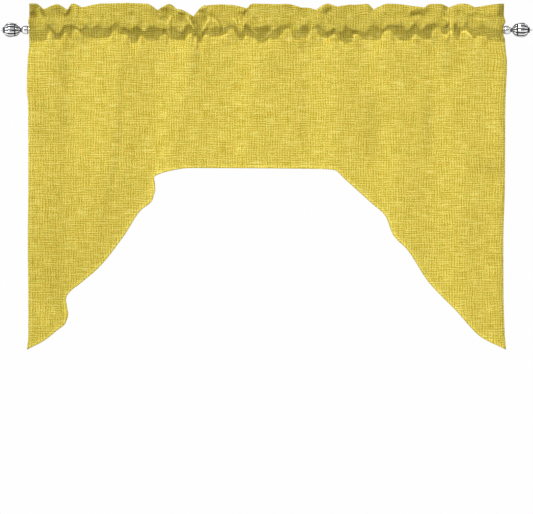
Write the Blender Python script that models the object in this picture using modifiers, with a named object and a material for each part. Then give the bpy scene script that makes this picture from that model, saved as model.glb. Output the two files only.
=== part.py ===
"""Swag valance gathered on a round rod that ends in fluted melon finials.

The cloth is one piece: a ruffled heading, a rod pocket between two rows of stitching,
and a flat panel whose lower edge is cut up in the middle, so that a tail hangs at each side.

Metres, +Z up. The origin is the rod's centre. +X runs along the rod to the right,
and the front of the cloth faces -Y. The tables below are in millimetres.
"""

import math
from collections import namedtuple

import bmesh
import bpy

MM = 0.001

# Hung cloth
HALF_WIDTH = 625.5
HEADING_TOP_Z = 71.0
SHEET = 2.0
HEADING_SHEET = 3.2
POCKET_TOP_Z = 29.0
POCKET_FOOT_Z = -26.0
SEAM_FADE = 62.0
DIP_SHARPNESS = 1.3
LEAN_SPREAD = 1.2
CREASE_ANGLE = math.radians(50.0)

# Rod and the joints between the turned pieces
ROD_RADIUS = 9.5
ROD_CHAMFER = 0.6
FIT_GAP = 0.3
ROD_END = 627.5
COLLAR_BORE_DEPTH = 9.5
SOCKET_DEPTH = 3.9
SPIGOT_RADIUS = 3.6
BEAD_RADIUS = 2.7
BEAD_MIDDLE = 71.0
TURNED_SIDES = 24
MERGE_DISTANCE = 0.00001

# Flutes of the finial, pressed in along its cone and its melon
FLUTES = 12
SIDES_PER_FLUTE = 4
FLUTE_DEPTH = 0.16
FLUTE_SHARPNESS = 1.5
FLUTE_TURN = math.radians(3.0)
FLUTE_FADE = 2.5
CONE_FLUTES = (18.5, 33.5)
MELON_FLUTES = (33.5, 64.5)

# Outsides of the turned pieces, from the tip of the finial inwards. along is measured
# outwards from the rod's end.
Turn = namedtuple("Turn", "radius along")
CAP_SKIN = (
    Turn(1.6, 68.7),
    Turn(1.9, 67.2),
    Turn(4.6, 66.7),
    Turn(7.3, 66.0),
    Turn(8.2, 65.0),
    Turn(7.9, 64.0),
    Turn(7.2, 63.5),
)
FINIAL_SKIN = (
    Turn(6.0, 63.2),
    Turn(7.6, 62.6),
    Turn(11.5, 61.2),
    Turn(15.4, 58.1),
    Turn(18.0, 53.6),
    Turn(19.2, 48.5),
    Turn(19.1, 43.5),
    Turn(18.4, 38.4),
    Turn(17.7, 35.2),
    Turn(16.1, 34.5),
    Turn(16.1, 33.0),
    Turn(17.1, 32.3),
    Turn(16.5, 30.0),
    Turn(13.4, 26.0),
    Turn(9.0, 22.5),
    Turn(5.6, 20.0),
    Turn(5.1, 17.7),
    Turn(6.5, 16.5),
    Turn(6.5, 15.7),
)
COLLAR_SKIN = (
    Turn(7.2, 15.4),
    Turn(9.3, 13.5),
    Turn(10.6, 11.0),
    Turn(11.0, 8.2),
    Turn(11.0, 2.4),
    Turn(10.6, 0.5),
    Turn(10.3, 0.0),
)

# Dips in the top of the heading, from left to right. The edge falls by depth at x, and climbs
# back over left and right. throw is how far the ruffle leans there, forwards when positive.
Dip = namedtuple("Dip", "x depth left right throw")
DIPS = (
    Dip(-587, 15, 16, 33, -4),
    Dip(-523, 17, 30, 13, 4),
    Dip(-485, 10, 21, 47, -5),
    Dip(-287, 17, 25, 33, -5),
    Dip(-237, 6, 12, 20, 0),
    Dip(-192, 38, 60, 24, -8),
    Dip(-158, 5, 20, 45, 0),
    Dip(-51, 15, 60, 12, 4),
    Dip(90, 8, 20, 30, 0),
    Dip(128, 17, 42, 26, -6),
    Dip(187, 8, 24, 37, 3),
    Dip(283, 15, 11, 34, -6),
    Dip(417, 9, 74, 13, 4),
    Dip(481, 10, 21, 29, -5),
    Dip(550, 10, 34, 68, 3),
)

# Tucks that draw the pocket in against the rod; between them it stands out in puffs.
Tuck = namedtuple("Tuck", "x reach draw")
TUCKS = (
    Tuck(-569, 18, 0.75),
    Tuck(-531, 12, 0.6),
    Tuck(-502, 20, 0.9),
    Tuck(-385, 38, 0.75),
    Tuck(-276, 21, 0.95),
    Tuck(-189, 30, 1.0),
    Tuck(-93, 26, 0.8),
    Tuck(-62, 14, 0.6),
    Tuck(65, 42, 0.75),
    Tuck(117, 19, 1.0),
    Tuck(231, 21, 0.85),
    Tuck(326, 26, 0.75),
    Tuck(389, 17, 0.65),
    Tuck(447, 24, 0.6),
    Tuck(487, 18, 0.9),
    Tuck(526, 21, 0.7),
)
FULL_SEAT_DRAW = 0.7

# The pocket's wall at a puff and at a tuck, front and back, from the upper row of stitching
# to the lower one. out is measured forwards from the rod's centre.
Wall = namedtuple("Wall", "puff_out puff_z tuck_out tuck_z")
FRONT_WALL = (
    Wall(3.0, 29.0, 2.0, 29.0),
    Wall(10.0, 21.0, 3.6, 21.0),
    Wall(14.5, 12.0, 7.6, 14.5),
    Wall(15.5, 4.0, 12.4, 5.0),
    Wall(13.0, -7.0, 12.6, -5.0),
    Wall(8.0, -17.0, 12.0, -15.0),
    Wall(4.0, -26.0, 10.5, -26.0),
)
BACK_WALL = (
    Wall(-3.0, 29.0, -2.0, 29.0),
    Wall(-9.0, 21.0, -3.6, 21.0),
    Wall(-13.0, 12.0, -7.6, 14.5),
    Wall(-13.8, 3.0, -12.4, 5.0),
    Wall(-11.5, -8.0, -12.3, -5.0),
    Wall(-7.0, -17.0, -9.0, -14.0),
    Wall(0.0, -26.0, 6.5, -26.0),
)

# The hole that the rod runs through, inside those walls: its front from top to foot, then
# its back from foot to top.
BORE_FRONT = (
    Wall(0.5, 25.5, 0.0, 10.2),
    Wall(7.5, 18.5, 5.1, 8.9),
    Wall(12.2, 10.5, 8.9, 5.1),
    Wall(13.3, 3.5, 10.3, 0.0),
    Wall(11.0, -6.5, 10.3, -8.0),
    Wall(6.6, -15.5, 9.8, -16.0),
    Wall(2.0, -22.5, 8.0, -23.5),
)
BORE_BACK = (
    Wall(-5.4, -15.3, -6.5, -13.5),
    Wall(-9.6, -7.2, -9.9, -7.0),
    Wall(-11.7, 3.0, -10.3, 0.0),
    Wall(-10.8, 10.8, -8.9, 5.1),
    Wall(-7.0, 18.5, -5.1, 8.9),
)

# Soft upright folds of the panel, ridges and troughs in turn. A fold starts at x_head below the
# pocket, passes x_arch level with the top of the arch and x_tail down in the tails.
Fold = namedtuple("Fold", "x_head x_arch x_tail out_head out_tail")
FOLDS = (
    Fold(-640, -640, -640, 6, 5),
    Fold(-575, -580, -585, 12, 10),
    Fold(-511, -516, -526, 3, 5),
    Fold(-375, -393, -446, 16, 12),
    Fold(-275, -300, -340, 4, 5),
    Fold(-196, -254, -290, 16, 12),
    Fold(-80, -90, -100, 5, 5),
    Fold(-24, -48, -60, 14, 12),
    Fold(102, 120, 125, 3, 4),
    Fold(190, 181, 185, 14, 12),
    Fold(254, 292, 300, 4, 4),
    Fold(320, 339, 352, 15, 12),
    Fold(437, 442, 442, 4, 4),
    Fold(528, 523, 516, 13, 11),
    Fold(600, 590, 588, 4, 6),
    Fold(640, 640, 640, 6, 8),
)
HEAD_LEVEL = -40.0
ARCH_LEVEL = -316.0
TAIL_LEVEL = -580.0

# Cut lower edge, from the left tip over the arch to the right tip.
Edge = namedtuple("Edge", "x z")
CUT_EDGE = (
    Edge(-627, -843),
    Edge(-585, -819),
    Edge(-549, -790),
    Edge(-528, -771),
    Edge(-525, -728),
    Edge(-521, -696),
    Edge(-491, -669),
    Edge(-438, -623),
    Edge(-375, -543),
    Edge(-332, -477),
    Edge(-300, -448),
    Edge(-294.5, -416),
    Edge(-289.5, -385),
    Edge(-259, -373),
    Edge(-201, -364),
    Edge(131, -366),
    Edge(178, -369),
    Edge(210, -396),
    Edge(279, -458),
    Edge(313, -489),
    Edge(334, -540),
    Edge(373, -581),
    Edge(426, -662),
    Edge(500, -740),
    Edge(563, -807),
    Edge(627, -843),
)

# How far the two side edges stray outwards from HALF_WIDTH, down their length.
Side = namedtuple("Side", "z left right")
SIDES = (
    Side(71, -6, -3),
    Side(38, -6, -3),
    Side(22, 1, 3),
    Side(8, -1, -1),
    Side(-45, -1, -1),
    Side(-88, 1, 5),
    Side(-145, 3, 3),
    Side(-190, 1, 0),
    Side(-400, 1, 0),
    Side(-560, 1, -4),
    Side(-700, 0, -4),
    Side(-800, -1, -1),
    Side(-843, 3, 3),
)
SIDE_REACH = 70.0

# Sampling of the cloth
WIDEST_COLUMN = 15.5
NARROWEST_COLUMN = 4.0
HEADING_ROWS = (0.0, 0.5)
PANEL_ROWS = (0.05, 0.14, 0.28, 0.46, 0.72, 1.0)


def ease(t):
    """0 to 1 with a level start and end."""
    t = min(1.0, max(0.0, t))
    return t * t * (3.0 - 2.0 * t)


def mix(a, b, t):
    return a + (b - a) * t


def through(xs, ys, x):
    """Value at x of a curve that runs through the points without overshooting them."""
    if x <= xs[0]:
        return ys[0]
    if x >= xs[-1]:
        return ys[-1]
    at = 0
    while x > xs[at + 1]:
        at += 1
    steps = [b - a for a, b in zip(xs, xs[1:])]
    rises = [(b - a) / step for a, b, step in zip(ys, ys[1:], steps)]

    def slope(i):
        if i == 0:
            return rises[0]
        if i == len(xs) - 1:
            return rises[-1]
        before, after = rises[i - 1], rises[i]
        return 0.0 if before * after <= 0.0 else 2.0 * before * after / (before + after)

    width = steps[at]
    t = (x - xs[at]) / width
    return (
        ys[at] * (1 + 2 * t) * (1 - t) ** 2
        + slope(at) * width * t * (1 - t) ** 2
        + ys[at + 1] * t * t * (3 - 2 * t)
        + slope(at + 1) * width * t * t * (t - 1)
    )


def heading_top(x):
    """Height of the ruffle's upper edge."""
    z = HEADING_TOP_Z
    for dip in DIPS:
        reach = dip.left if x < dip.x else dip.right
        t = abs(x - dip.x) / reach
        if t < 1.0:
            z -= dip.depth * (1.0 - t) ** DIP_SHARPNESS
    return z


def heading_lean(x):
    """How far the ruffle's upper edge stands forwards of the rod's centre."""
    out = 0.0
    for dip in DIPS:
        reach = LEAN_SPREAD * (dip.left if x < dip.x else dip.right)
        out += dip.throw * ease(1.0 - abs(x - dip.x) / reach)
    return out


def drawn(x):
    """0 at the middle of a puff, 1 where a tuck draws the pocket onto the rod."""
    return max(tuck.draw * ease(1.0 - abs(x - tuck.x) / tuck.reach) for tuck in TUCKS)


def wall_point(wall, draw):
    return mix(wall.puff_out, wall.tuck_out, draw), mix(wall.puff_z, wall.tuck_z, draw)


def fold_out(x, z):
    """How far the panel stands forwards at x and z, from the folds alone."""
    levels = (TAIL_LEVEL, ARCH_LEVEL, HEAD_LEVEL)
    xs = [through(levels, (f.x_tail, f.x_arch, f.x_head), z) for f in FOLDS]
    ys = [through(levels, (f.out_tail, 0.5 * (f.out_tail + f.out_head), f.out_head), z) for f in FOLDS]
    return through(xs, ys, x)


def panel_out(x, z):
    """Front of the panel: the seam's own line at the pocket, fading into the folds below it."""
    seam = wall_point(FRONT_WALL[-1], drawn(x))[0]
    fade = ease((POCKET_FOOT_Z - z) / SEAM_FADE)
    return mix(seam, fold_out(x, z), fade)


def cut_edge(x):
    return through([e.x for e in CUT_EDGE], [e.z for e in CUT_EDGE], x)


def strayed(x, z):
    """x moved outwards near a side edge, so that the edge wavers as a hung one does."""
    near = ease(1.0 - (HALF_WIDTH - abs(x)) / SIDE_REACH)
    if near == 0.0:
        return x
    zs = [side.z for side in reversed(SIDES)]
    stray = [side.left if x < 0 else side.right for side in reversed(SIDES)]
    return x + math.copysign(1.0, x) * near * through(zs, stray, z)


def column_places():
    """x of each column of the loft: every dip, tuck and corner, and enough between them."""
    wanted = [e.x for e in CUT_EDGE[1:-1]] + [dip.x for dip in DIPS]
    wanted += [tuck.x for tuck in TUCKS]
    places = [-HALF_WIDTH, HALF_WIDTH]
    for x in wanted:
        if min(abs(x - other) for other in places) >= NARROWEST_COLUMN:
            places.append(x)
    places.sort()
    filled = [places[0]]
    for start, end in zip(places, places[1:]):
        parts = math.ceil((end - start) / WIDEST_COLUMN)
        filled += [start + (end - start) * part / parts for part in range(1, parts + 1)]
    return filled


def section(x):
    """Front, back and bore of the cloth at x, each a list of (x, out, z)."""
    draw = drawn(x)
    seat = ease(min(1.0, draw / FULL_SEAT_DRAW))
    top, lean = heading_top(x), heading_lean(x)
    front, back, bore = [], [], []
    for share in HEADING_ROWS:
        z = mix(top, POCKET_TOP_Z, share)
        middle = mix(lean, 0.0, ease(share))
        front.append((x, middle + HEADING_SHEET / 2, z))
        back.append((x, middle - HEADING_SHEET / 2, z))
    front += [(x, *wall_point(wall, draw)) for wall in FRONT_WALL]
    back += [(x, *wall_point(wall, draw)) for wall in BACK_WALL]
    bore += [(x, *wall_point(wall, seat)) for wall in BORE_FRONT + BORE_BACK]
    foot = cut_edge(x)
    for share in PANEL_ROWS:
        z = mix(POCKET_FOOT_Z, foot, share)
        out = panel_out(x, z)
        front.append((x, out, z))
        back.append((x, out - SHEET, z))
    return tuple([(strayed(px, z), out, z) for px, out, z in line] for line in (front, back, bore))


def new_object(name, mesh, material, collection):
    thing = bpy.data.objects.new(name, mesh)
    thing.data.materials.append(material)
    collection.objects.link(thing)
    return thing


def make_material(name, colour, roughness, metallic):
    material = bpy.data.materials.new(name)
    material.use_nodes = True
    shader = material.node_tree.nodes["Principled BSDF"]
    shader.inputs["Base Color"].default_value = (*colour, 1.0)
    shader.inputs["Roughness"].default_value = roughness
    shader.inputs["Metallic"].default_value = metallic
    return material


def linen():
    return make_material("yellow linen", (0.62, 0.50, 0.075), 0.9, 0.0)


def chrome():
    return make_material("polished chrome", (0.80, 0.81, 0.82), 0.12, 1.0)


def steel():
    return make_material("brushed steel", (0.66, 0.67, 0.68), 0.30, 1.0)


def make_valance(collection):
    """One closed cloth solid, lofted from section to section along the rod."""
    mesh_maker = bmesh.new()
    columns = []
    for x in column_places():
        lines = section(x)
        columns.append([[mesh_maker.verts.new((px * MM, -out * MM, z * MM)) for px, out, z in line]
                        for line in lines])
    face = mesh_maker.faces.new
    rows = len(columns[0][0])
    pocket = range(len(HEADING_ROWS), len(HEADING_ROWS) + len(FRONT_WALL) - 1)
    for (front, back, bore), (next_front, next_back, next_bore) in zip(columns, columns[1:]):
        for row in range(rows - 1):
            below = row + 1
            face((front[row], front[below], next_front[below]))
            face((front[row], next_front[below], next_front[row]))
            face((back[row], next_back[below], back[below]))
            face((back[row], next_back[row], next_back[below]))
        for at in range(len(bore)):
            after = (at + 1) % len(bore)
            face((bore[at], next_bore[at], next_bore[after]))
            face((bore[at], next_bore[after], bore[after]))
        face((front[0], next_front[0], next_back[0], back[0]))
        face((front[-1], back[-1], next_back[-1], next_front[-1]))
    for front, back, bore in (columns[0], columns[-1]):
        bore_front = bore[:len(FRONT_WALL)]
        bore_back = [bore[0]] + bore[:len(FRONT_WALL) - 2:-1]
        for row in range(rows - 1):
            if row in pocket:
                at = row - pocket.start
                face((front[row], front[row + 1], bore_front[at + 1], bore_front[at]))
                face((back[row], bore_back[at], bore_back[at + 1], back[row + 1]))
            else:
                face((front[row], front[row + 1], back[row + 1], back[row]))
        face((front[pocket.start], bore[0], back[pocket.start]))
        face((front[pocket.stop], back[pocket.stop], bore_front[-1]))
    bmesh.ops.recalc_face_normals(mesh_maker, faces=mesh_maker.faces)
    mesh = bpy.data.meshes.new("valance")
    mesh_maker.to_mesh(mesh)
    mesh_maker.free()
    mesh.shade_smooth()
    mesh.set_sharp_from_angle(angle=CREASE_ANGLE)
    new_object("valance", mesh, linen(), collection)


def turned(name, profile, sides, material, collection):
    """A turned piece about its own Z from (radius, along) points that run top to bottom."""
    mesh = bpy.data.meshes.new(name)
    points = [(radius * MM, 0.0, along * MM) for radius, along in profile]
    mesh.from_pydata(points, [(i, i + 1) for i in range(len(points) - 1)], [])
    thing = new_object(name, mesh, material, collection)
    screw = thing.modifiers.new("turn", "SCREW")
    screw.axis = "Z"
    screw.angle = math.tau
    screw.steps = sides
    screw.render_steps = sides
    screw.use_merge_vertices = True
    screw.merge_threshold = MERGE_DISTANCE
    screw.use_smooth_shade = True
    return thing


def place_at_end(thing, side):
    """Stands a turned piece on a rod end: its own +Z then points outwards along the rod."""
    thing.location = (side * ROD_END * MM, 0.0, 0.0)
    thing.rotation_euler = (0.0, side * math.radians(90.0), 0.0)


def make_rod(collection):
    """A plain round rod that reaches into both collars."""
    half = ROD_END + COLLAR_BORE_DEPTH - FIT_GAP
    face_radius = ROD_RADIUS - ROD_CHAMFER
    profile = [
        Turn(0.0, half),
        Turn(face_radius, half),
        Turn(ROD_RADIUS, half - ROD_CHAMFER),
        Turn(ROD_RADIUS, ROD_CHAMFER - half),
        Turn(face_radius, -half),
        Turn(0.0, -half),
    ]
    rod = turned("rod", profile, TURNED_SIDES, steel(), collection)
    rod.rotation_euler = (0.0, math.radians(90.0), 0.0)


def make_collar(name, side, material, collection):
    """A barrel-shaped sleeve over the rod's end, with a socket for the finial's spigot."""
    outer_end = COLLAR_SKIN[0].along
    floor = outer_end - SOCKET_DEPTH
    socket = SPIGOT_RADIUS + FIT_GAP
    bore = ROD_RADIUS + FIT_GAP
    mouth = [Turn(0.0, floor), Turn(socket, floor), Turn(socket, outer_end)]
    inside = [Turn(bore, 0.0), Turn(bore, COLLAR_BORE_DEPTH), Turn(0.0, COLLAR_BORE_DEPTH)]
    profile = mouth + list(COLLAR_SKIN) + inside
    place_at_end(turned(name, profile, TURNED_SIDES, material, collection), side)


def fluting(along):
    """How deep the flutes are pressed: fully on cone and melon, fading out past their ends."""
    depth = 0.0
    for start, end in (CONE_FLUTES, MELON_FLUTES):
        depth += ease((along - start) / FLUTE_FADE) * ease((end - along) / FLUTE_FADE)
    return depth


def make_finial(name, side, material, collection):
    """Neck, cone and melon turned in one, then the flutes pressed in around them."""
    spigot_end = COLLAR_SKIN[0].along - SOCKET_DEPTH + FIT_GAP
    spigot = [
        Turn(SPIGOT_RADIUS, FINIAL_SKIN[-1].along),
        Turn(SPIGOT_RADIUS, spigot_end),
        Turn(0.0, spigot_end),
    ]
    profile = [Turn(0.0, FINIAL_SKIN[0].along)] + list(FINIAL_SKIN) + spigot
    blank = turned(name + " blank", profile, FLUTES * SIDES_PER_FLUTE, material, collection)
    evaluated = blank.evaluated_get(bpy.context.evaluated_depsgraph_get())
    mesh = bpy.data.meshes.new_from_object(evaluated)
    mesh.name = name
    for vertex in mesh.vertices:
        around = math.atan2(vertex.co.y, vertex.co.x) - side * FLUTE_TURN
        groove = (1.0 - abs(math.sin(around * FLUTES / 2))) ** FLUTE_SHARPNESS
        pressed = 1.0 - FLUTE_DEPTH * groove * fluting(vertex.co.z / MM)
        vertex.co.x *= pressed
        vertex.co.y *= pressed
    bpy.data.objects.remove(blank)
    finial = bpy.data.objects.new(name, mesh)
    collection.objects.link(finial)
    place_at_end(finial, side)


def make_end_cap(name, side, material, collection):
    """The small disc and bead that close the melon's outer end."""
    bead = [Turn(0.0, BEAD_MIDDLE + BEAD_RADIUS)]
    for degrees in (60, 30, 0, -30):
        angle = math.radians(degrees)
        bead.append(Turn(BEAD_RADIUS * math.cos(angle), BEAD_MIDDLE + BEAD_RADIUS * math.sin(angle)))
    profile = bead + list(CAP_SKIN) + [Turn(0.0, CAP_SKIN[-1].along)]
    place_at_end(turned(name, profile, TURNED_SIDES, material, collection), side)


def main():
    for thing in list(bpy.data.objects):
        bpy.data.objects.remove(thing)
    collection = bpy.data.collections.new("swag valance and curtain rod")
    bpy.context.scene.collection.children.link(collection)
    make_valance(collection)
    make_rod(collection)
    finish = chrome()
    for word, side in (("left", -1), ("right", 1)):
        make_collar("collar_" + word, side, finish, collection)
        make_finial("finial_" + word, side, finish, collection)
        make_end_cap("end_cap_" + word, side, finish, collection)


main()
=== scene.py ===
# %% [markdown]
# # A swag valance on its rod
# A short curtain hangs from a thin rod. One piece of yellow linen-look cloth makes all of it.
# Its top is turned back and sewn down twice, which gives a ruffle and a pocket for the rod. Its
# lower edge is cut up in a high arch, so a tail is left at each side. Chrome finials end the rod.
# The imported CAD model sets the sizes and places. It is loaded first and never moved, and the cells
# below keep to it and dress it with finer pieces and with finishes.

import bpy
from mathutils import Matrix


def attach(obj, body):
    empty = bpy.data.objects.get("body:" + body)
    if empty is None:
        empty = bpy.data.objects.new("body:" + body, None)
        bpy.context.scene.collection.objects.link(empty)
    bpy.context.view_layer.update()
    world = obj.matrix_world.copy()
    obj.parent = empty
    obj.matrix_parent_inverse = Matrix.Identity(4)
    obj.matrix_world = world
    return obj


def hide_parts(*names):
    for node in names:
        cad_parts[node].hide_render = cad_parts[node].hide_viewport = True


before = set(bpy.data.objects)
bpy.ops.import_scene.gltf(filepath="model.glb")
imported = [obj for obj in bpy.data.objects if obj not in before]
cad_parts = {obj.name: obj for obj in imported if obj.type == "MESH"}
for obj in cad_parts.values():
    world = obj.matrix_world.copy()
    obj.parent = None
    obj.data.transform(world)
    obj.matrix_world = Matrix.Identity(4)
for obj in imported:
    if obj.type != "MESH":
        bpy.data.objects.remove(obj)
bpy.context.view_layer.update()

# %% [markdown]
# ## One scale for all places
# The photograph was taken square on, so one number turns its pixels into millimetres. Most places
# below were read there and are given in pixels. Two helpers turn them into millimetres from the
# middle of the rod. The frame itself is in metres, so everything is scaled by MM at the end.

# %% Modules and units
import math
from collections import namedtuple

import bmesh
import bpy
import numpy as np
from mathutils import Vector, geometry

MM = 0.001
PHOTO_WIDTH = 533
PHOTO_HEIGHT = 514
PIXEL_MM = 2.634
ROD_MIDDLE_PX = 266.25
ROD_HEIGHT_PX = 30.0


def across(x_px):
    """Millimetres to the right of the rod's middle, for a column of the photograph."""
    return (np.asarray(x_px, float) - ROD_MIDDLE_PX) * PIXEL_MM


def above(y_px):
    """Millimetres above the rod's middle, for a row of the photograph."""
    return (ROD_HEIGHT_PX - np.asarray(y_px, float)) * PIXEL_MM


print("the photograph spans", round(PHOTO_WIDTH * PIXEL_MM), "mm")

# %% [markdown]
# ## Stage
# The valance was photographed square on, from so far away that nothing in it converges. An
# orthographic camera would show the same from the front, but a very long lens far back keeps a
# little true perspective in the slanting views. The floor is plain and lies well below the tails.

# %% Camera and floor
VIEW_DISTANCE = 14.0
SENSOR = 36.0
FARTHEST_SEEN = 100.0
FLOOR_Z = -1.75
FLOOR_HALF = 7.0
FLOOR_COLOUR = (0.8, 0.8, 0.79, 1)


def aimed(thing, place, target):
    """Puts a camera or lamp in its place and turns it to the target."""
    thing.location = place
    thing.rotation_euler = (Vector(target) - Vector(place)).to_track_quat("-Z", "Y").to_euler()
    bpy.context.scene.collection.objects.link(thing)


camera = bpy.data.objects.new("camera", bpy.data.cameras.new("camera"))
camera.data.sensor_width = SENSOR
camera.data.lens = SENSOR * VIEW_DISTANCE / (PHOTO_WIDTH * PIXEL_MM * MM)
middle_x = float(across(PHOTO_WIDTH / 2)) * MM
middle_z = float(above(PHOTO_HEIGHT / 2)) * MM
aimed(camera, (middle_x, -VIEW_DISTANCE, middle_z), (middle_x, 0.0, middle_z))
camera.data.clip_end = FARTHEST_SEEN
bpy.context.scene.camera = camera
bpy.context.scene.view_settings.view_transform = "Standard"

floor_mesh = bpy.data.meshes.new("floor")
floor_mesh.from_pydata(
    [(x * FLOOR_HALF, y * FLOOR_HALF, FLOOR_Z) for x, y in ((-1, -1), (1, -1), (1, 1), (-1, 1))],
    [], [(0, 1, 2, 3)])
floor = bpy.data.objects.new("floor", floor_mesh)
bpy.context.scene.collection.objects.link(floor)
floor_finish = bpy.data.materials.new("pale floor")
floor_finish.use_nodes = True
floor_shader = floor_finish.node_tree.nodes["Principled BSDF"]
floor_shader.inputs["Base Color"].default_value = FLOOR_COLOUR
floor_mesh.materials.append(floor_finish)
print("lens", round(camera.data.lens), "mm")

# %% [markdown]
# ## Lights
# Two suns light the cloth: one from the upper left in front, and a weaker one for the views from
# behind. Both are 12 degrees wide, so the shade of a fold has a soft edge. Chrome shows only what it
# mirrors, so it gets large white softboxes of its own. Light linking lets them reach only the
# pieces of the collection "metal", and the cloth stays as the suns light it.

# %% Lights
KEY_STRENGTH = 3.05
KEY_PLACE = (-1.0, -2.5, 2.6)
BACK_STRENGTH = 1.2
BACK_PLACE = (1.5, 3.0, 1.5)
SUN_SPREAD = math.radians(12)
LEFT_GLOW = 62.0
RIGHT_GLOW = 20.0
ABOVE_GLOW = 28.0
CEILING_GLOW = 22.0
CLOTH_MIDDLE = (0.0, 0.0, -0.35)

metal = bpy.data.collections.new("metal")


def lamp(name, kind, place, target=CLOTH_MIDDLE, **settings):
    """A lamp that the camera doesn't see."""
    data = bpy.data.lights.new(name, kind)
    for setting, value in settings.items():
        setattr(data, setting, value)
    thing = bpy.data.objects.new(name, data)
    aimed(thing, place, target)
    thing.visible_camera = False
    return thing


def softbox(name, place, wide, high, energy, target=CLOTH_MIDDLE):
    """A white box that lights the metal and nothing else."""
    box = lamp(name, "AREA", place, target, shape="RECTANGLE", size=wide, size_y=high, energy=energy)
    box.light_linking.receiver_collection = metal
    return box


lamp("key", "SUN", KEY_PLACE, energy=KEY_STRENGTH, angle=SUN_SPREAD)
lamp("back", "SUN", BACK_PLACE, energy=BACK_STRENGTH, angle=SUN_SPREAD)
boxes = [softbox("softbox above", (0.0, -2.5, 2.3), 5.6, 3.0, ABOVE_GLOW),
         softbox("ceiling", (0.0, -0.6, 3.0), 6.0, 4.4, CEILING_GLOW, target=(0.0, -0.6, 0.0)),
         softbox("softbox left", (-2.7, -0.7, 0.0), 3.4, 3.0, LEFT_GLOW),
         softbox("softbox right", (2.7, -0.7, 0.0), 3.4, 3.0, RIGHT_GLOW)]
print("two suns and", len(boxes), "softboxes")

# %% [markdown]
# ## Sky
# A studio sweep is white behind the object, but as much light from all round would wash out the
# folds. So there are two backgrounds, mixed by Light Path: the camera sees the white one, and the
# pieces are lit by the low one.

# %% Sky
SKY_GLOW = 0.20
BACKGROUND_WHITE = 0.99
WHITE = (1, 1, 1, 1)
world = bpy.data.worlds.new("studio")
bpy.context.scene.world = world
world.use_nodes = True
sky_nodes = world.node_tree.nodes
glow = sky_nodes["Background"]
backdrop = sky_nodes.new("ShaderNodeBackground")
for background, strength in ((glow, SKY_GLOW), (backdrop, BACKGROUND_WHITE)):
    background.inputs["Color"].default_value = WHITE
    background.inputs["Strength"].default_value = strength
ray = sky_nodes.new("ShaderNodeLightPath")
blend = sky_nodes.new("ShaderNodeMixShader")
for source, taker in ((ray.outputs["Is Camera Ray"], blend.inputs[0]), (glow.outputs[0], blend.inputs[1]),
                     (backdrop.outputs[0], blend.inputs[2]),
                     (blend.outputs[0], sky_nodes["World Output"].inputs["Surface"])):
    world.node_tree.links.new(source, taker)
print("sky of", SKY_GLOW, "behind a backdrop of", BACKGROUND_WHITE)

# %% [markdown]
# ## Shader sums in plain Python
# A finish is a tree of nodes, and long sums are hard to read as a tree. `Number` wraps one socket
# and lets a sum be written as Python: each sign on it adds a Math node. `Finish` holds the material
# and adds any other node from its type, settings and sockets.

# %% Finish and Number


class Number:
    """One output of a node. A sum on it adds a Math node and gives its output."""

    def __init__(self, finish, socket):
        self.finish = finish
        self.socket = socket

    def worked(self, operation, *terms):
        return self.finish.add("ShaderNodeMath", {"operation": operation}, dict(enumerate(terms)))

    def __add__(self, other):
        return self.worked("ADD", self, other)

    __radd__ = __add__

    def __sub__(self, other):
        return self.worked("SUBTRACT", self, other)

    def __rsub__(self, other):
        return self.worked("SUBTRACT", other, self)

    def __mul__(self, other):
        return self.worked("MULTIPLY", self, other)

    __rmul__ = __mul__

    def __truediv__(self, other):
        return self.worked("DIVIDE", self, other)

    def __rtruediv__(self, other):
        return self.worked("DIVIDE", other, self)

    def floor(self):
        return self.worked("FLOOR", self)

    def fraction(self):
        return self.worked("FRACT", self)

    def sine(self):
        return self.worked("SINE", self)

    def over(self, edge, soft):
        """0 below edge, 1 from edge + soft upwards."""
        span = {"Value": self, "From Min": edge, "From Max": edge + soft}
        return self.finish.add("ShaderNodeMapRange", {"interpolation_type": "SMOOTHSTEP"}, span)


class Finish:
    """A material with its node tree."""

    def __init__(self, name):
        self.material = bpy.data.materials.new(name)
        self.material.use_nodes = True
        self.nodes = self.material.node_tree.nodes
        self.links = self.material.node_tree.links
        self.shader = self.nodes["Principled BSDF"]

    def feed(self, socket, value):
        """Links a Number to a socket, or sets a plain value on it."""
        if isinstance(value, Number):
            self.links.new(value.socket, socket)
        else:
            socket.default_value = value

    def add(self, kind, settings=None, sockets=None, output=0):
        """Any node, from its type, its settings and what its sockets get; gives one output."""
        node = self.nodes.new(kind)
        for name, value in (settings or {}).items():
            setattr(node, name, value)
        for name, value in (sockets or {}).items():
            self.feed(node.inputs[name], value)
        return Number(self, node.outputs[output])

    def give(self, **values):
        """Sets or links sockets of the surface shader; Base_Color stands for Base Color."""
        for name, value in values.items():
            self.feed(self.shader.inputs[name.replace("_", " ")], value)

    def point(self, x, y):
        return self.add("ShaderNodeCombineXYZ", {}, {"X": x, "Y": y})

    def marked(self, name):
        """A number that the mesh keeps for each of its points."""
        return self.add("ShaderNodeAttribute", {"attribute_name": name}, output=2)

    def noise(self, where, scale, detail=0.0, kind="2D"):
        sockets = {"Vector": where, "Scale": scale, "Detail": detail}
        return self.add("ShaderNodeTexNoise", {"noise_dimensions": kind}, sockets)

    def tint(self, share, below, above_it, way="MIX"):
        """A colour between two, as in the Mix node; the sockets go by number there."""
        return self.add("ShaderNodeMix", {"data_type": "RGBA", "blend_type": way},
                        {0: share, 6: below, 7: above_it}, output=2)


print("shader sums ready")

# %% [markdown]
# ## Smooth curves through measured places
# Outline and folds are tables of places, in millimetres, and something has to join them smoothly. A
# usual spline overshoots where two places differ much. `through` draws one smooth curve that never
# does, so each number in a table is a place that can be measured on the finished cloth.

# %% Curves through points


def ease(t):
    """0 to 1 with a level start and end."""
    t = np.clip(t, 0.0, 1.0)
    return t * t * (3.0 - 2.0 * t)


def mix(a, b, t):
    return a + (b - a) * t


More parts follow.
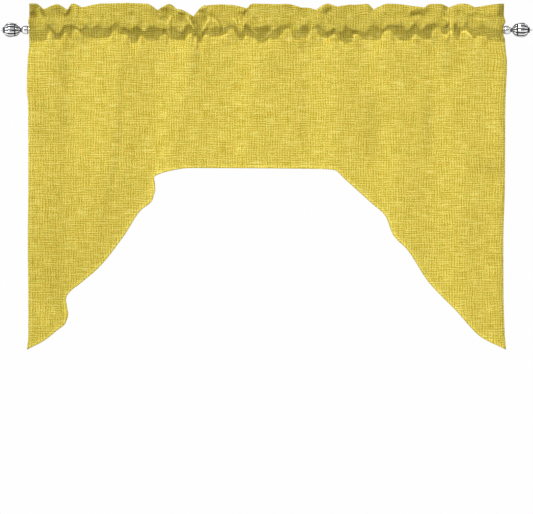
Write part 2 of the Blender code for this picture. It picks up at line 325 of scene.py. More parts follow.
def slopes(rises):
    """Slope of the curve at each point, from the rises beside it: level where it turns back."""
    before, after = rises[:-1], rises[1:]
    total = np.where(before + after == 0.0, 1.0, before + after)
    inner = np.where(before * after > 0.0, 2.0 * before * after / total, 0.0)
    return np.concatenate((rises[:1], inner, rises[-1:]))


def span_curve(start, end, start_slope, end_slope, width, t):
    """Height at t, from 0 to 1, on one span of the curve."""
    return (start * (1 + 2 * t) * (1 - t) ** 2 + start_slope * width * t * (1 - t) ** 2
            + end * t * t * (3 - 2 * t) + end_slope * width * t * t * (t - 1))


def through(xs, ys, x):
    """Values at x of a curve that runs through the points without overshooting them."""
    xs, ys = np.asarray(xs, float), np.asarray(ys, float)
    slope = slopes(np.diff(ys) / np.diff(xs))
    x = np.clip(x, xs[0], xs[-1])
    at = np.clip(np.searchsorted(xs, x, side="right") - 1, 0, len(xs) - 2)
    width = xs[at + 1] - xs[at]
    return span_curve(ys[at], ys[at + 1], slope[at], slope[at + 1], width, (x - xs[at]) / width)


print("halfway through 0, 1, 1:", round(float(through((0, 1, 2), (0, 1, 1), 0.5)), 3))

# %% [markdown]
# ## Outline of the hung cloth
# The drawn cloth has to hang where its CAD solid does, so the outline follows the one that the solid
# was lofted from. It differs by a few millimetres. The top is lower, because the sheet's rounded top
# and its thickness add to it, and the dips, the side edges and the cut waver more finely, as limp
# cloth does.

# %% Outline of the hung cloth
HALF_WIDTH = 625.5
HEADING_TOP_Z = 69.0
POCKET_TOP_Z = 29.0
POCKET_FOOT_Z = -24.0
DIP_SHARPNESS = 1.3
LEAN_SPREAD = 1.2
SIDE_REACH = 70.0
JOIN_Z = -45.0

# Dips in the ruffle's upper edge: depth at x, climbing back over left and right; throw leans it.
Dip = namedtuple("Dip", "x depth left right throw")
DIPS = [Dip(*row) for row in (
    (-587, 15, 19, 40, -4), (-523, 17, 30, 10, 4), (-485, 10, 21, 47, -5), (-365, -2, 80, 50, 0),
    (-287, 17, 25, 33, -5), (-237, 6, 12, 20, 0), (-192, 33, 66, 31, -8), (-158, 5, 20, 45, 0),
    (-100, 3, 50, 45, 0), (-51, 13, 46, 13, 4), (30, 1.5, 50, 45, 0), (92, 10, 38, 36, 0),
    (131, 16.5, 42, 27, -6), (187, 8, 24, 37, 3), (232, 3.2, 50, 45, 0), (283, 15, 16, 34, -6),
    (385, 2, 75, 100, 0), (417, 9, 74, 13, 4), (481, 10, 21, 29, -5), (550, 10, 24, 68, 3))]

# Cut lower edge, from the left tip over the arch to the right tip.
Edge = namedtuple("Edge", "x z")
CUT_EDGE = [Edge(*row) for row in (
    (-627, -843), (-585, -819), (-549, -790), (-528, -771), (-525, -728), (-521, -696),
    (-491, -669), (-438, -623), (-375, -543), (-332, -477), (-300, -448), (-294.5, -416),
    (-289.5, -385), (-259, -373), (-201, -364), (131, -366), (178, -369), (210, -396),
    (279, -458), (313, -489), (334, -540), (373, -581), (426, -662), (500, -740), (563, -807),
    (627, -843))]

# How far the side edges stray outwards from HALF_WIDTH, down their length.
Side = namedtuple("Side", "z left right")
SIDES = [Side(*row) for row in (
    (-843, 5, 6), (-800, 1, 2.5), (-700, 1.2, -0.7), (-560, 2.5, -1.2), (-400, 1, 3),
    (-200, 1.5, 4), (-155, 5, 6), (-88, 3, 8.5), (-62, 1.5, 6.5), (-45, -1.5, 4.5),
    (-24, -1.5, 3), (-12, -1, -1), (8, -1, -1), (22, 1, 4.5), (38, -1.5, 0.5), (71, -1.5, 1))]

# Places where the cut goes a little to the right or, below zero, to the left.
Waver = namedtuple("Waver", "x z right reach")
WAVERS = [Waver(*row) for row in (
    (-291, -388, -5.0, 11), (-292, -425, 3.5, 11), (-524, -708, -4.0, 13), (-522, -749, 5.5, 16))]


def heading_top(x):
    """z of the ruffle's upper edge, before it is rounded."""
    z = np.full_like(x, HEADING_TOP_Z)
    for dip in DIPS:
        t = np.abs(x - dip.x) / np.where(x < dip.x, dip.left, dip.right)
        z -= dip.depth * np.clip(1.0 - t, 0.0, 1.0) ** DIP_SHARPNESS
    return z


def heading_lean(x):
    """How far the ruffle's upper edge leans forwards."""
    out = np.zeros_like(x)
    for dip in DIPS:
        reach = LEAN_SPREAD * np.where(x < dip.x, dip.left, dip.right)
        out += dip.throw * ease(1.0 - np.abs(x - dip.x) / reach)
    return out


def cut_edge(x):
    """z of the cut lower edge."""
    return through([e.x for e in CUT_EDGE], [e.z for e in CUT_EDGE], x)


def strayed(x, z):
    """x moved outwards near a side edge, so that the edge wavers as a hung one does."""
    near = ease(1.0 - (HALF_WIDTH - np.abs(x)) / SIDE_REACH)
    zs = [side.z for side in SIDES]
    left = through(zs, [side.left for side in SIDES], z)
    right = through(zs, [side.right for side in SIDES], z)
    moved = x + np.sign(x) * near * np.where(x < 0, left, right)
    for waver in WAVERS:
        away = (x - waver.x) ** 2 + (z - waver.z) ** 2
        moved = moved + waver.right * np.exp(-away / waver.reach ** 2)
    return moved


print("outline of", len(CUT_EDGE), "edge points and", len(DIPS), "dips")

# %% [markdown]
# ## Upright folds and tucks
# Below the pocket the fullness of the cloth falls in seven soft folds. A simulation would find folds
# of its own, so each ridge and trough is a row here instead: it drifts sideways on its way down and
# gets a little shallower. Behind the rod the pocket is drawn in at its tucks.

# %% Upright folds of the panel

# Ridges and troughs in turn: x under the pocket, level with the arch and in the tails, and how
# far each stands forwards of the rod's middle, at the pocket and in the tails.
Fold = namedtuple("Fold", "x_head x_arch x_tail out_head out_tail")
FOLDS = [Fold(*row) for row in (
    (-640, -640, -640, 6, 5), (-575, -580, -585, 12, 10), (-511, -516, -526, 3, 5),
    (-375, -393, -446, 16, 12), (-275, -300, -340, 4, 5), (-196, -254, -290, 16, 12),
    (-80, -90, -100, 5, 5), (-24, -48, -60, 14, 12), (102, 120, 125, 3, 4),
    (190, 181, 185, 14, 12), (254, 292, 300, 4, 4), (320, 339, 352, 15, 12),
    (437, 442, 442, 4, 4), (528, 523, 516, 13, 11), (600, 590, 588, 4, 6), (640, 640, 640, 6, 8))]
LEVELS = (-580.0, -316.0, -40.0)


def fold_row(x, z):
    """How far the panel stands forwards along one level z, from the folds alone."""
    xs = [float(through(LEVELS, (f.x_tail, f.x_arch, f.x_head), z)) for f in FOLDS]
    middle = [0.5 * (f.out_tail + f.out_head) for f in FOLDS]
    outs = [float(through(LEVELS, (f.out_tail, m, f.out_head), z)) for f, m in zip(FOLDS, middle)]
    return through(xs, outs, x)


# Tucks that draw the pocket's back in against the rod; between them it stands out in puffs.
Tuck = namedtuple("Tuck", "x reach draw")
TUCKS = [Tuck(*row) for row in (
    (-569, 18, 0.75), (-531, 12, 0.6), (-502, 20, 0.9), (-385, 38, 0.75), (-276, 21, 0.95),
    (-189, 30, 1.0), (-93, 26, 0.8), (-62, 14, 0.6), (65, 42, 0.75), (117, 19, 1.0),
    (231, 21, 0.85), (326, 26, 0.75), (389, 17, 0.65), (447, 24, 0.6), (487, 18, 0.9),
    (526, 21, 0.7))]


def drawn(x):
    """0 at the middle of a puff, 1 where a tuck draws the pocket onto the rod."""
    draws = [tuck.draw * ease(1.0 - np.abs(x - tuck.x) / tuck.reach) for tuck in TUCKS]
    return np.max(draws, axis=0)


print(len(FOLDS), "folds and", len(TUCKS), "tucks")

# %% [markdown]
# ## A relief map of the front
# Gathered cloth has dozens of small tucks, and each one catches the light in its own way. Simulating
# them gives other tucks than the photograph shows. So the front is drawn first as a relief map: a
# fine grid that says how far the cloth stands forwards at each x and z. Every pleat and crease is
# a row in a table, placed by its column and row in the photograph, and the mesh reads the map.

# %% Grid of the relief
CELL = 1.0
MAP_X = np.arange(-642.0, 642.1, CELL)
MAP_Z = np.arange(-856.0, 78.0, CELL)
grid_x, grid_z = np.meshgrid(MAP_X, MAP_Z)

folds = np.array([fold_row(MAP_X, z) for z in MAP_Z])
print("relief of", folds.shape[1], "x", folds.shape[0], "cells")

# %% [markdown]
# The pocket hangs over the rod like a soft tube, gathered into lobes. The upper half of a lobe faces
# the light, and below its crown it turns under and goes dark, down to its foot. Between the dark
# lobes the panel's cloth rises in bright tongues. Each row of the table gives one column of the
# photograph, the rows of the crown and the foot there, and how full the lobe is: 0 lies nearly on
# the rod and 1 stands well out.

# %% Pleats of the pocket
Pleat = namedtuple("Pleat", "x_px crown_px foot_px fullness")
PLEATS = [Pleat(*row) for row in (
    (30, 24, 41.5, 0.5), (36, 27, 41.5, 0.4), (43, 29, 41.5, 0.35), (46, 25, 39, 0.6), (48, 24, 35, 0.9),
    (50, 24, 31.5, 1), (52, 27, 33, 1), (53.5, 29.5, 37, 0.9), (55, 31.5, 39, 0.9),
    (58, 33, 40, 0.8), (61, 31, 39.5, 0.9), (63, 26, 37, 1), (64.2, 24.5, 33.5, 1), (66, 25, 33, 1),
    (67.3, 25, 36, 0.9), (69, 24.5, 38, 0.8), (71.5, 24, 38.5, 1), (73, 24, 33, 1),
    (75, 25.5, 29.5, 1), (78, 27.5, 30.5, 1), (80, 29.5, 32.5, 0.9), (82, 29, 36, 0.8),
    (84, 25, 37.5, 0.9), (86.5, 24, 38, 1), (89, 26, 38, 0.8), (92, 28, 37.5, 0.7),
    (96, 25, 38.5, 0.9), (100, 25, 38.3, 0.8), (104, 27.5, 38, 0.7), (108, 27.5, 38, 0.8),
    (111, 26, 36, 0.8), (113, 24, 32.5, 0.8), (116, 22, 31, 0.8), (119, 25, 33, 0.6),
    (122, 27.5, 35, 0.8), (125, 27, 35, 1), (127.3, 29, 36.5, 1), (129, 29.5, 40, 1),
    (131, 29, 43, 1), (134, 27, 43.5, 1.1), (137, 25.5, 42, 1.15), (139, 27, 39, 1.1),
    (141, 28, 35.8, 0.9), (143, 31, 36.5, 0.75), (145, 31, 39, 0.8), (147, 27, 40, 0.9),
    (150, 26, 41, 1), (155, 26, 40.5, 1), (158, 27.5, 40, 0.9), (160, 28.5, 36, 0.7),
    (162, 28.7, 36.5, 0.8), (164.5, 28.3, 34, 1.1), (167, 29, 36, 0.8), (169, 28, 38, 0.6),
    (171, 26, 39.5, 0.9), (175, 27, 39.5, 0.9), (178, 30, 40, 0.8), (181, 32, 40, 0.8),
    (184, 28.5, 40, 0.9), (186.3, 25, 38, 1), (188.5, 24, 35, 1), (191, 25, 33.5, 1.1),
    (193, 25.5, 36, 0.9), (195, 27, 37, 0.75), (196.6, 25.5, 36, 0.8), (198.5, 24, 43, 0.85),
    (200.5, 26, 43, 0.8), (202.5, 32, 38, 0.7), (206, 28, 35, 0.4), (212, 28.5, 37, 0.6),
    (216, 26, 36.5, 0.7), (219, 27.5, 36.5, 0.8), (221.6, 27, 36, 1), (224, 28.5, 35, 0.7),
    (227, 25.5, 33, 0.7), (230, 24.5, 29.8, 0.9), (233.5, 25.5, 29.5, 0.9), (236, 27.5, 35, 0.9),
    (238, 31, 38.5, 0.8), (240.5, 33, 40.5, 0.6), (243, 28, 40, 0.75), (245, 24, 36.5, 1.1),
    (247, 24.5, 36, 1.1), (250, 26.5, 37, 1.05), (253, 28, 38.5, 0.95), (256, 27, 40, 0.9),
    (260, 27, 43.5, 1), (264, 26, 43, 1), (268, 25.5, 40, 0.9), (271, 27, 38, 0.75),
    (273.5, 29, 39.5, 0.8), (277, 28.5, 39, 0.8), (280.5, 25, 36, 0.9), (284, 25, 31.5, 0.9),
    (288, 25, 28.5, 0.8), (290.5, 26.5, 29.5, 0.3), (293, 29.5, 38, 0.45),
    (297.5, 29.5, 39.5, 0.5), (300, 26.5, 39, 0.75), (303, 25, 38, 1.1), (306.3, 25, 38, 1.1),
    (308.3, 27, 36, 0.8), (310, 27.5, 31, 0.2), (312, 27.5, 30, 0.1), (314, 26, 29, 0.5),
    (316, 25, 29.5, 0.9), (318.5, 24.5, 34, 0.9), (322, 27, 37, 0.8), (326, 31.5, 38.8, 0.8),
    (330, 30.5, 37, 0.9), (333.5, 28, 34.5, 1.1), (336, 28.5, 36, 1), (339, 31.5, 40, 0.9),
    (342, 32, 42, 0.9), (345, 24.5, 44, 1.1), (348, 26, 43.5, 1), (351, 28, 42.5, 1),
    (352.8, 29.5, 38.5, 1), (354, 30, 33.8, 0.9), (357.5, 30, 35, 0.75), (361, 31, 37.5, 0.7),
    (365, 32, 39.5, 0.65), (368, 28.5, 40, 0.7), (371.5, 24.5, 40, 0.85), (376, 25.5, 40, 0.8),
    (380, 28, 39.5, 0.7), (382.5, 29, 35, 0.7), (385, 27.5, 31.5, 0.8), (388.5, 25, 30.3, 1),
    (391.5, 24.5, 31.5, 1), (394, 24.5, 36, 1), (397, 24.5, 39, 1), (401, 24.5, 40, 1),
    (404, 27, 41, 0.9), (407, 30, 41, 0.9), (410, 27.5, 40, 1), (412.5, 25, 37.5, 1.1),
    (415.3, 22.5, 34.5, 1.1), (418, 25.5, 36.5, 1), (421, 30, 38.3, 0.8), (424, 26.5, 39, 0.9),
    (427.5, 24, 39, 1.1), (430.5, 24, 39, 1.1), (432, 23.5, 33, 1), (434.5, 23, 29.8, 0.9),
    (438, 24, 27.5, 0.6), (441.5, 26, 32, 0.6), (444, 26, 34.5, 0.9), (446, 24, 35.5, 1),
    (448.3, 23, 32.5, 0.9), (450, 27, 31, 0.3), (452.3, 27, 31, 0.3), (454, 24, 37, 1),
    (456, 23, 40, 1.1), (458, 27, 40.5, 0.9), (460.5, 27, 33, 0.5), (463, 25, 31, 0.6),
    (465.5, 22, 30, 1), (468, 26, 31.5, 0.6), (471, 28, 34, 0.4), (474, 27, 38.5, 0.5),
    (479, 26, 36, 0.5), (484, 23.5, 36, 0.7), (488, 27, 40, 0.7), (494, 29, 41, 0.7),
    (503, 30, 42, 0.7))]

SHORTEST_LOBE = 3.0

pleat_x = across([p.x_px for p in PLEATS])
crown_z = through(pleat_x, above([p.crown_px for p in PLEATS]), MAP_X)
foot_z = through(pleat_x, above([p.foot_px for p in PLEATS]), MAP_X)
foot_z = np.minimum(foot_z, crown_z - SHORTEST_LOBE)
fullness = through(pleat_x, [p.fullness for p in PLEATS], MAP_X)
print(len(PLEATS), "places along the pocket")

# %% [markdown]
# From these places comes the whole front below the upper stitching: a shoulder that swells from the
# stitching to the crown, the lobe that falls back to its foot, and the panel that takes over the
# upright folds further down. ROD_CLEAR keeps all of it in front of the rod.

# %% Front of the pocket
HEADING_HALF = 1.3
SEAM_OUT = 1.6
SHOULDER_SHARE = 0.62
FLATTEST_OUT = 11.8
FULLEST_OUT = 16.6
LOBE_FOOT_OUT = 6.0
LOBE_ROUNDNESS = 1.05
TONGUE_OUT = 12.3
TONGUE_STEP = 5.0
TONGUE_FOOT = 12.0
TONGUE_FADE = 9.0
ROD_CLEAR = 10.9
PANEL_FADE = 46.0


def rod_clearance(z):
    """How far out the cloth has to be, at least, to pass in front of the rod."""
    return np.sqrt(np.maximum(0.0, ROD_CLEAR ** 2 - z ** 2))


crown_out = mix(FLATTEST_OUT, FULLEST_OUT, fullness)
foot_out = np.maximum(LOBE_FOOT_OUT, np.where(foot_z > 0, ROD_CLEAR, rod_clearance(foot_z)))
tongue = 1.0 - ease((-foot_z - TONGUE_FOOT) / TONGUE_FADE)
top_z = heading_top(MAP_X)
lean = heading_lean(MAP_X)


def down_columns(zs, outs, z):
    """`through` for every column at once; the places run downwards."""
    zs, outs = np.array(zs), np.array(outs)
    slope = slopes(np.diff(outs, axis=0) / np.diff(zs, axis=0))
    made = np.broadcast_to(outs[0], z.shape).copy()
    for i in range(len(zs) - 1):
        width = zs[i + 1] - zs[i]
        t = np.clip((z - zs[i]) / width, 0.0, 1.0)
        span = span_curve(outs[i], outs[i + 1], slope[i], slope[i + 1], width, t)
        made = np.where(z <= zs[i], span, made)
    return made


def down_lobe(z):
    """0 at a lobe's crown, 1 at its foot."""
    return (crown_z - z) / (crown_z - foot_z)


def tube_front(z):
    """The pocket's front from the upper stitching down, with the panel's folds below each lobe."""
    shoulder_z = mix(crown_z, POCKET_TOP_Z, 0.5)
    upper = down_columns([np.full_like(crown_z, POCKET_TOP_Z), shoulder_z, crown_z],
                         [np.full_like(crown_z, SEAM_OUT), SHOULDER_SHARE * crown_out, crown_out], z)
    lobe = crown_out - (crown_out - foot_out) * np.clip(down_lobe(z), 0.0, 1.0) ** LOBE_ROUNDNESS
    tongue_share = tongue * ease((foot_z - z) / TONGUE_STEP)
    start = mix(foot_out, np.maximum(foot_out, TONGUE_OUT), tongue_share)
    t = np.clip((foot_z - z) / PANEL_FADE, 0.0, 1.0)
    panel = mix(start, folds, np.where(folds > start, 1.0 - (1.0 - t) ** 2, ease(t)))
    made = np.where(z > crown_z, upper, lobe)
    made = np.where(z < foot_z, panel, made)
    return np.maximum(made, rod_clearance(z))


lean_share = ease((grid_z - POCKET_TOP_Z) / np.maximum(1.0, top_z - POCKET_TOP_Z))
heading = HEADING_HALF + lean * lean_share
relief = np.where(grid_z > POCKET_TOP_Z, heading, tube_front(grid_z))
print("pocket stands out up to", round(float(crown_out.max()), 1), "mm")

# %% [markdown]
# Now the single creases. Each is a soft ridge or trough along a short line: how far it rises in
# millimetres (below zero for a trough), how wide it is in millimetres, and the pixels it passes. A
# line of one point is a dent or a bump.

# %% Creases of the heading and the panel
Crease = namedtuple("Crease", "rise width path_px")
CREASES = [Crease(*row) for row in (
    # ruffle above the upper stitching
    (9.0, 17, ((26, 0), (32, 1), (38, 3))),
    (-4.5, 12, ((31, 12), (33, 16), (38, 18))),
    (-4.5, 5, ((40, 9), (44, 15), (47, 18))),
    (-3.4, 12, ((42, 15), (66, 14))),
    (5.0, 10, ((50, 5), (62, 4))),
    (-3.0, 2.5, ((65.3, 17.8),)),
    (5.0, 5, ((69.5, 7), (64, 15))),
    (-3.2, 6.5, ((72, 8), (65.5, 17.5))),
    (3.5, 4, ((76.5, 5), (77, 18))),
    (2.5, 4, ((80, 7), (86, 12))),
    (-3.2, 2.5, ((91, 18),)),
    (-2.5, 4, ((130.5, 12), (132.5, 17))),
    (-2.0, 2.5, ((132, 23.5),)),
    (2.0, 8, ((143, 6), (153, 7.5))),
    (-4.0, 4, ((157.5, 10), (157, 17))),
    (5.0, 7, ((160, 7.5), (168, 6))),
    (-4.5, 5.5, ((159, 18), (168.5, 18))),
    (4.5, 5, ((177, 10), (185, 14))),
    (-4.0, 7, ((179, 13), (187, 18))),
    (-7.0, 8, ((189, 18), (196, 19), (194, 27))),
    (-3.2, 12, ((198, 14), (204, 15), (206, 21))),
    (6.0, 6, ((196, 10), (208, 7))),
    (-3.5, 6, ((199, 19), (207, 18.5))),
    (3.5, 4, ((208.5, 10), (210.5, 16))),
    (-2.5, 2, ((236, 17), (240, 15))),
    (-4.0, 3.5, ((246.5, 10), (243.5, 17))),
    (4.0, 8, ((281, 3), (292, 5))),
    (-3.0, 2.5, ((291, 18.3),)),
    (3.0, 8, ((295, 6), (303, 7))),
    (6.0, 6, ((319.5, 12), (324.5, 4))),
    (-6.0, 6, ((325, 15.5), (331, 7.5))),
    (-3.0, 3, ((341, 18),)),
    (-2.0, 2, ((345, 19), (362, 19))),
    (-2.5, 4, ((372, 9), (371, 13))),
    (4.5, 6, ((408, 13), (413, 10), (420, 8), (427, 10))),
    (-3.6, 5, ((408, 18.5), (413, 15.5), (420, 14.5), (426, 17))),
    (-2.0, 1.8, ((399, 19), (403, 25))),
    (2.5, 2, ((443.5, 17), (449, 21))),
    (-3.0, 2, ((442, 19), (447.5, 23.5))),
    (-3.5, 3, ((449, 16.5),)),
    (3.0, 6, ((453, 5), (454, 12))),
    (-3.0, 5, ((459, 10), (459, 17))),
    (3.0, 8, ((498, 2), (499, 14))),
    (-3.5, 7, ((502, 4), (502, 19))),
    (-3.5, 6, ((504, 23), (504, 33))),
    (-1.8, 5, ((476, 21), (486, 22.5), (502, 22.5))),
    (2.0, 9, ((478, 14), (500, 14))),
    (3.0, 8, ((384, 10), (384, 13))),
    (3.0, 8, ((241, 9), (241, 13))),
    (-3.5, 7, ((446, 6), (445, 19))),
    (2.2, 9, ((253, 8), (254, 20))),
    (2.5, 9, ((122, 12), (121, 27))),
    (1.5, 10, ((110, 12), (109, 27))),
    (1.8, 10, ((350, 13), (352, 22))),
    (-2.2, 9, ((153, 15), (188, 15))),
    (2.8, 8, ((469, 9), (470, 16))),
    (1.6, 12, ((480, 12), (496, 12))),
    (-3.0, 8, ((160, 12), (175, 11))),
    (-4.5, 5.5, ((176, 19), (189, 19.5))),
    # pocket
    (3.0, 3, ((144, 28), (146, 32))),
    (3.0, 4, ((157, 18.5), (161, 23), (163, 27))),
    (4.8, 2.8, ((172.5, 15), (169, 20), (166.5, 26))),
    (-4.0, 2.6, ((171, 29), (171, 22), (174, 16))),
    (2.6, 3, ((166, 28), (171, 38))),
    (3.5, 10, ((180, 25),)),
    (5.5, 2.6, ((186, 16), (191, 22.5), (194.3, 30))),
    (-5.0, 4, ((192.5, 17.5), (193.8, 24))),
    (-2.5, 3, ((197.8, 22), (198.2, 36))),
    (-2.5, 7, ((199, 36), (198, 60), (197.5, 80))),
    (6.0, 2.2, ((202, 31), (206, 25.5), (208.6, 20), (209.6, 15.5))),
    (-4.0, 2.2, ((204, 33.5), (208.7, 28), (211, 22), (211.6, 18))),
    (2.6, 2.4, ((211, 18.5), (216, 21.5), (219, 27))),
    (-4.0, 2.6, ((211, 13.5), (215, 17.5), (219.5, 21), (221.8, 26), (222.3, 33))),
    (-3.5, 2.8, ((225, 25), (229.5, 23), (235, 26.5))),
    (6.0, 1.9, ((231, 17.5), (236, 20.5), (238.3, 28))),
    (-3.0, 1.8, ((233, 21), (236, 24.5), (236.8, 29))),
    (6.0, 1.9, ((239, 15.5), (240, 22), (240.6, 29))),
    (-4.0, 1.6, ((241.4, 16.5), (242.0, 28))),
    (6.0, 1.9, ((243.0, 20), (243.8, 31.5))),
    (-3.0, 3, ((246, 22), (246.5, 30))),
    (-1.8, 2, ((252.3, 25), (251, 20), (255, 16))),
    (3.4, 2.3, ((249.5, 27), (258.5, 35.5))),
    (2.2, 3, ((275, 28), (265, 38))),
    (3.0, 5, ((312, 16), (311.5, 30), (312, 44))),
    (-2.4, 2, ((327, 18), (333, 25.5))),
    (3.0, 2.6, ((333, 26), (337, 31.5), (340, 38))),
    (-3.0, 2.6, ((445.5, 32), (449, 24))),
    (3.5, 3.4, ((451.5, 18), (451, 27), (452.5, 37))),
    (-2.2, 2.6, ((455, 22), (455.5, 30), (458.5, 38))),
    (6.0, 2.4, ((460, 32.3), (466, 32.3), (470, 36), (475, 41))),
    (-1.2, 1.8, ((476, 36.6), (503, 36.6))),
    (-1.6, 7, ((30, 27), (42, 27))),
    (3.0, 6, ((446, 39),)),
    # panel
    (-1.6, 8, ((264, 46), (266, 52))),
    (2.4, 8, ((228, 43),)),
    (2.4, 8, ((289, 43),)),
    (2.4, 8, ((311, 43),)),
    (2.4, 8, ((361, 43),)),
    (1.8, 14, ((230, 46), (230, 62))),
    (-1.8, 12, ((446, 50), (446, 80))),
    (1.2, 16, ((254, 62), (256, 100))),
    (-2.5, 8, ((303, 40), (303, 55))),
    (-2.0, 8, ((126.5, 42), (118, 150), (98, 250))),
    (-1.8, 12, ((66, 45), (66, 95))),
    (1.8, 14, ((191, 45), (185, 90), (171, 160))),
    (-1.0, 10, ((210, 100),)),
    (-1.6, 22, ((42, 90), (42, 165))),
    (-1.5, 12, ((66, 95), (66, 150))),
    (1.4, 22, ((176, 42), (176, 62))),
    (-1.2, 24, ((177, 100), (175, 150))),
    (-1.6, 9, ((303, 60), (303, 150))),
    (1.2, 22, ((324, 42), (324, 62))),
    (1.4, 20, ((375, 42), (375, 62))),
    (-2.0, 26, ((375, 92), (372, 165))),
    (-2.2, 12, ((429, 75), (428, 165))),
    (-2.0, 22, ((455, 42), (455, 80))),
    (-1.0, 20, ((457, 90), (460, 150))),
    (-2.5, 24, ((493, 170),)),
    (3.0, 40, ((50, 318),)))]
print(len(CREASES), "creases listed")

# %% [markdown]
# The creases go into two maps. The relief map raises or sinks the cloth. The gloom map is painted
# shade: it says how deep in a hollow each spot lies, and the finish darkens the cloth by it, because
# hollows this small show too weakly in soft light alone. Ridges get a painted highlight from it. A
# narrow crease is raised less and painted more, since a steep ridge of a few millimetres would need a
# far finer mesh. The undersides of the lobes, the parts of the ruffle that lean forwards and the
# lower tails get painted shade here too.

# %% Raise the creases and shade the hollows
TAPER = 0.5
CREASE_REACH = 3.0
GLOOM_DEPTH = 6.5
SHARP_WIDTH = 3.5
SHARP_LIT = 2.2
BROAD_LIT = 0.5
SHARP_RELIEF = 0.55
LEAST_FULL = 0.52
MOST_GLOOM = 1.2
UNDER_START = 0.12
UNDER_FADE = 0.3
FOOT_START = 1.0
FOOT_FADE = 3.0
LEAN_GLOOM = 0.5
LEAN_START = 2.0
LEFT_TAIL_GLOOM = 0.42
RIGHT_TAIL_GLOOM = 0.14
TAIL_START = 150.0
TAIL_DOWN = 600.0
TAIL_ACROSS = 400.0


def crease_relief(crease):
    """Window of the map that the crease reaches, and what it adds there."""
    xs, zs = across([p[0] for p in crease.path_px]), above([p[1] for p in crease.path_px])
    reach = CREASE_REACH * crease.width
    window = (slice(*np.searchsorted(MAP_Z, (zs.min() - reach, zs.max() + reach))),
              slice(*np.searchsorted(MAP_X, (xs.min() - reach, xs.max() + reach))))
    x, z = grid_x[window], grid_z[window]
    if len(xs) == 1:
        away = (x - xs[0]) ** 2 + (z - zs[0]) ** 2
        return window, crease.rise * np.exp(-away / crease.width ** 2)
    lengths = np.hypot(np.diff(xs), np.diff(zs))
    run = np.concatenate(([0.0], np.cumsum(lengths)))
    nearest, along = np.full(x.shape, np.inf), np.zeros(x.shape)
    for i, length in enumerate(lengths):
        dx, dz = (xs[i + 1] - xs[i]) / length, (zs[i + 1] - zs[i]) / length
        step = np.clip((x - xs[i]) * dx + (z - zs[i]) * dz, 0.0, length)
        away = np.hypot(x - xs[i] - step * dx, z - zs[i] - step * dz)
        along = np.where(away < nearest, (run[i] + step) / run[-1], along)
        nearest = np.minimum(away, nearest)
    taper = np.clip(np.sin(math.pi * along), 0.0, 1.0) ** TAPER
    return window, crease.rise * taper * np.exp(-((nearest / crease.width) ** 2))


# painted shade under the lobes, deepest in the fullest ones
turned_under = down_lobe(grid_z)
under = ease((turned_under + UNDER_START) / UNDER_FADE) * (1.0 - ease(turned_under))
under *= ease((grid_z - foot_z + FOOT_START) / FOOT_FADE)
painted_shade_map = np.clip((fullness - LEAST_FULL) / (1.0 - LEAST_FULL), 0.0, MOST_GLOOM) * under
for crease in CREASES:
    window, added = crease_relief(crease)
    sharp = crease.width < SHARP_WIDTH
    # a trough adds painted shade, and a ridge takes it away as a painted highlight, more on a narrow one
    lit = (SHARP_LIT if sharp else BROAD_LIT) if crease.rise > 0 else 1.0
    relief[window] += (SHARP_RELIEF if sharp else 1.0) * added
    painted_shade_map[window] -= lit * added / GLOOM_DEPTH
# painted shade in the tails, darker towards the bottom and more on the left
low_down = ease((-grid_z - TAIL_START) / TAIL_DOWN)
left_tail = LEFT_TAIL_GLOOM * ease((-grid_x - TAIL_START) / TAIL_ACROSS)
right_tail = RIGHT_TAIL_GLOOM * ease((grid_x - TAIL_START) / TAIL_ACROSS)
painted_shade_map += low_down * (left_tail + right_tail)
# painted shade where the ruffle leans forwards and faces down
leaning = np.gradient(relief, CELL, axis=0) * (grid_z > POCKET_TOP_Z + LEAN_START)
painted_shade_map += LEAN_GLOOM * np.clip(leaning, 0.0, 1.0)
print("gloom runs from", round(float(painted_shade_map.min()), 2), "to", round(float(painted_shade_map.max()), 2))

# %% [markdown]
# Sewing draws the cloth in at every few stitches, so small puckers run off both rows of stitching
# and die out within a finger's width. They have no pattern, so they come from seeded noise. Wide,
# low ripples from the same noise keep the panel from hanging dead flat.

# %% Puckers beside the stitching
PUCKER_SEED = 7
PUCKER_TALL = 6.0
PUCKER_WIDE = 2.5
PUCKER_HEIGHT = 0.55
PUCKER_REACH = 9.0
PUCKER_GLOOM = 0.14
POCKET_PUCKERS = 0.5
RIPPLE_HEIGHT = 0.7
RIPPLE_WAVE = 34.0
RIPPLE_BLOCK = 8
RIPPLE_PASSES = 24
chance = np.random.default_rng(PUCKER_SEED)


def soft_noise(shape, waves):
    """Random relief of about unit height; waves are its lengths down and across, in cells."""
    made = chance.standard_normal(shape)
    for axis, wave in enumerate(waves):
        reach = int(3 * wave) + 1
        kernel = np.exp(-0.5 * (np.arange(-reach, reach + 1) / wave) ** 2)
        made = np.apply_along_axis(lambda line: np.convolve(line, kernel, mode="same"), axis, made)
    return made / made.std()


puckers = soft_noise(relief.shape, (PUCKER_TALL / CELL, PUCKER_WIDE / CELL))
beside = sum(np.exp(-np.abs(grid_z - seam_z) / PUCKER_REACH) for seam_z in (POCKET_TOP_Z, POCKET_FOOT_Z))
relief += PUCKER_HEIGHT * puckers * beside
# the puckers get painted shade and painted highlight too
painted_shade_map -= PUCKER_GLOOM * puckers * (beside + POCKET_PUCKERS * (np.abs(grid_z) < POCKET_TOP_Z))

# the ripples are wide, so they are made in blocks of cells, spread out and blurred
blocks = tuple(cells // RIPPLE_BLOCK + 1 for cells in relief.shape)
ripples = soft_noise(blocks, (RIPPLE_WAVE / CELL / RIPPLE_BLOCK,) * 2)
ripples = np.kron(ripples, np.ones((RIPPLE_BLOCK, RIPPLE_BLOCK)))
ripples = ripples[:relief.shape[0], :relief.shape[1]]


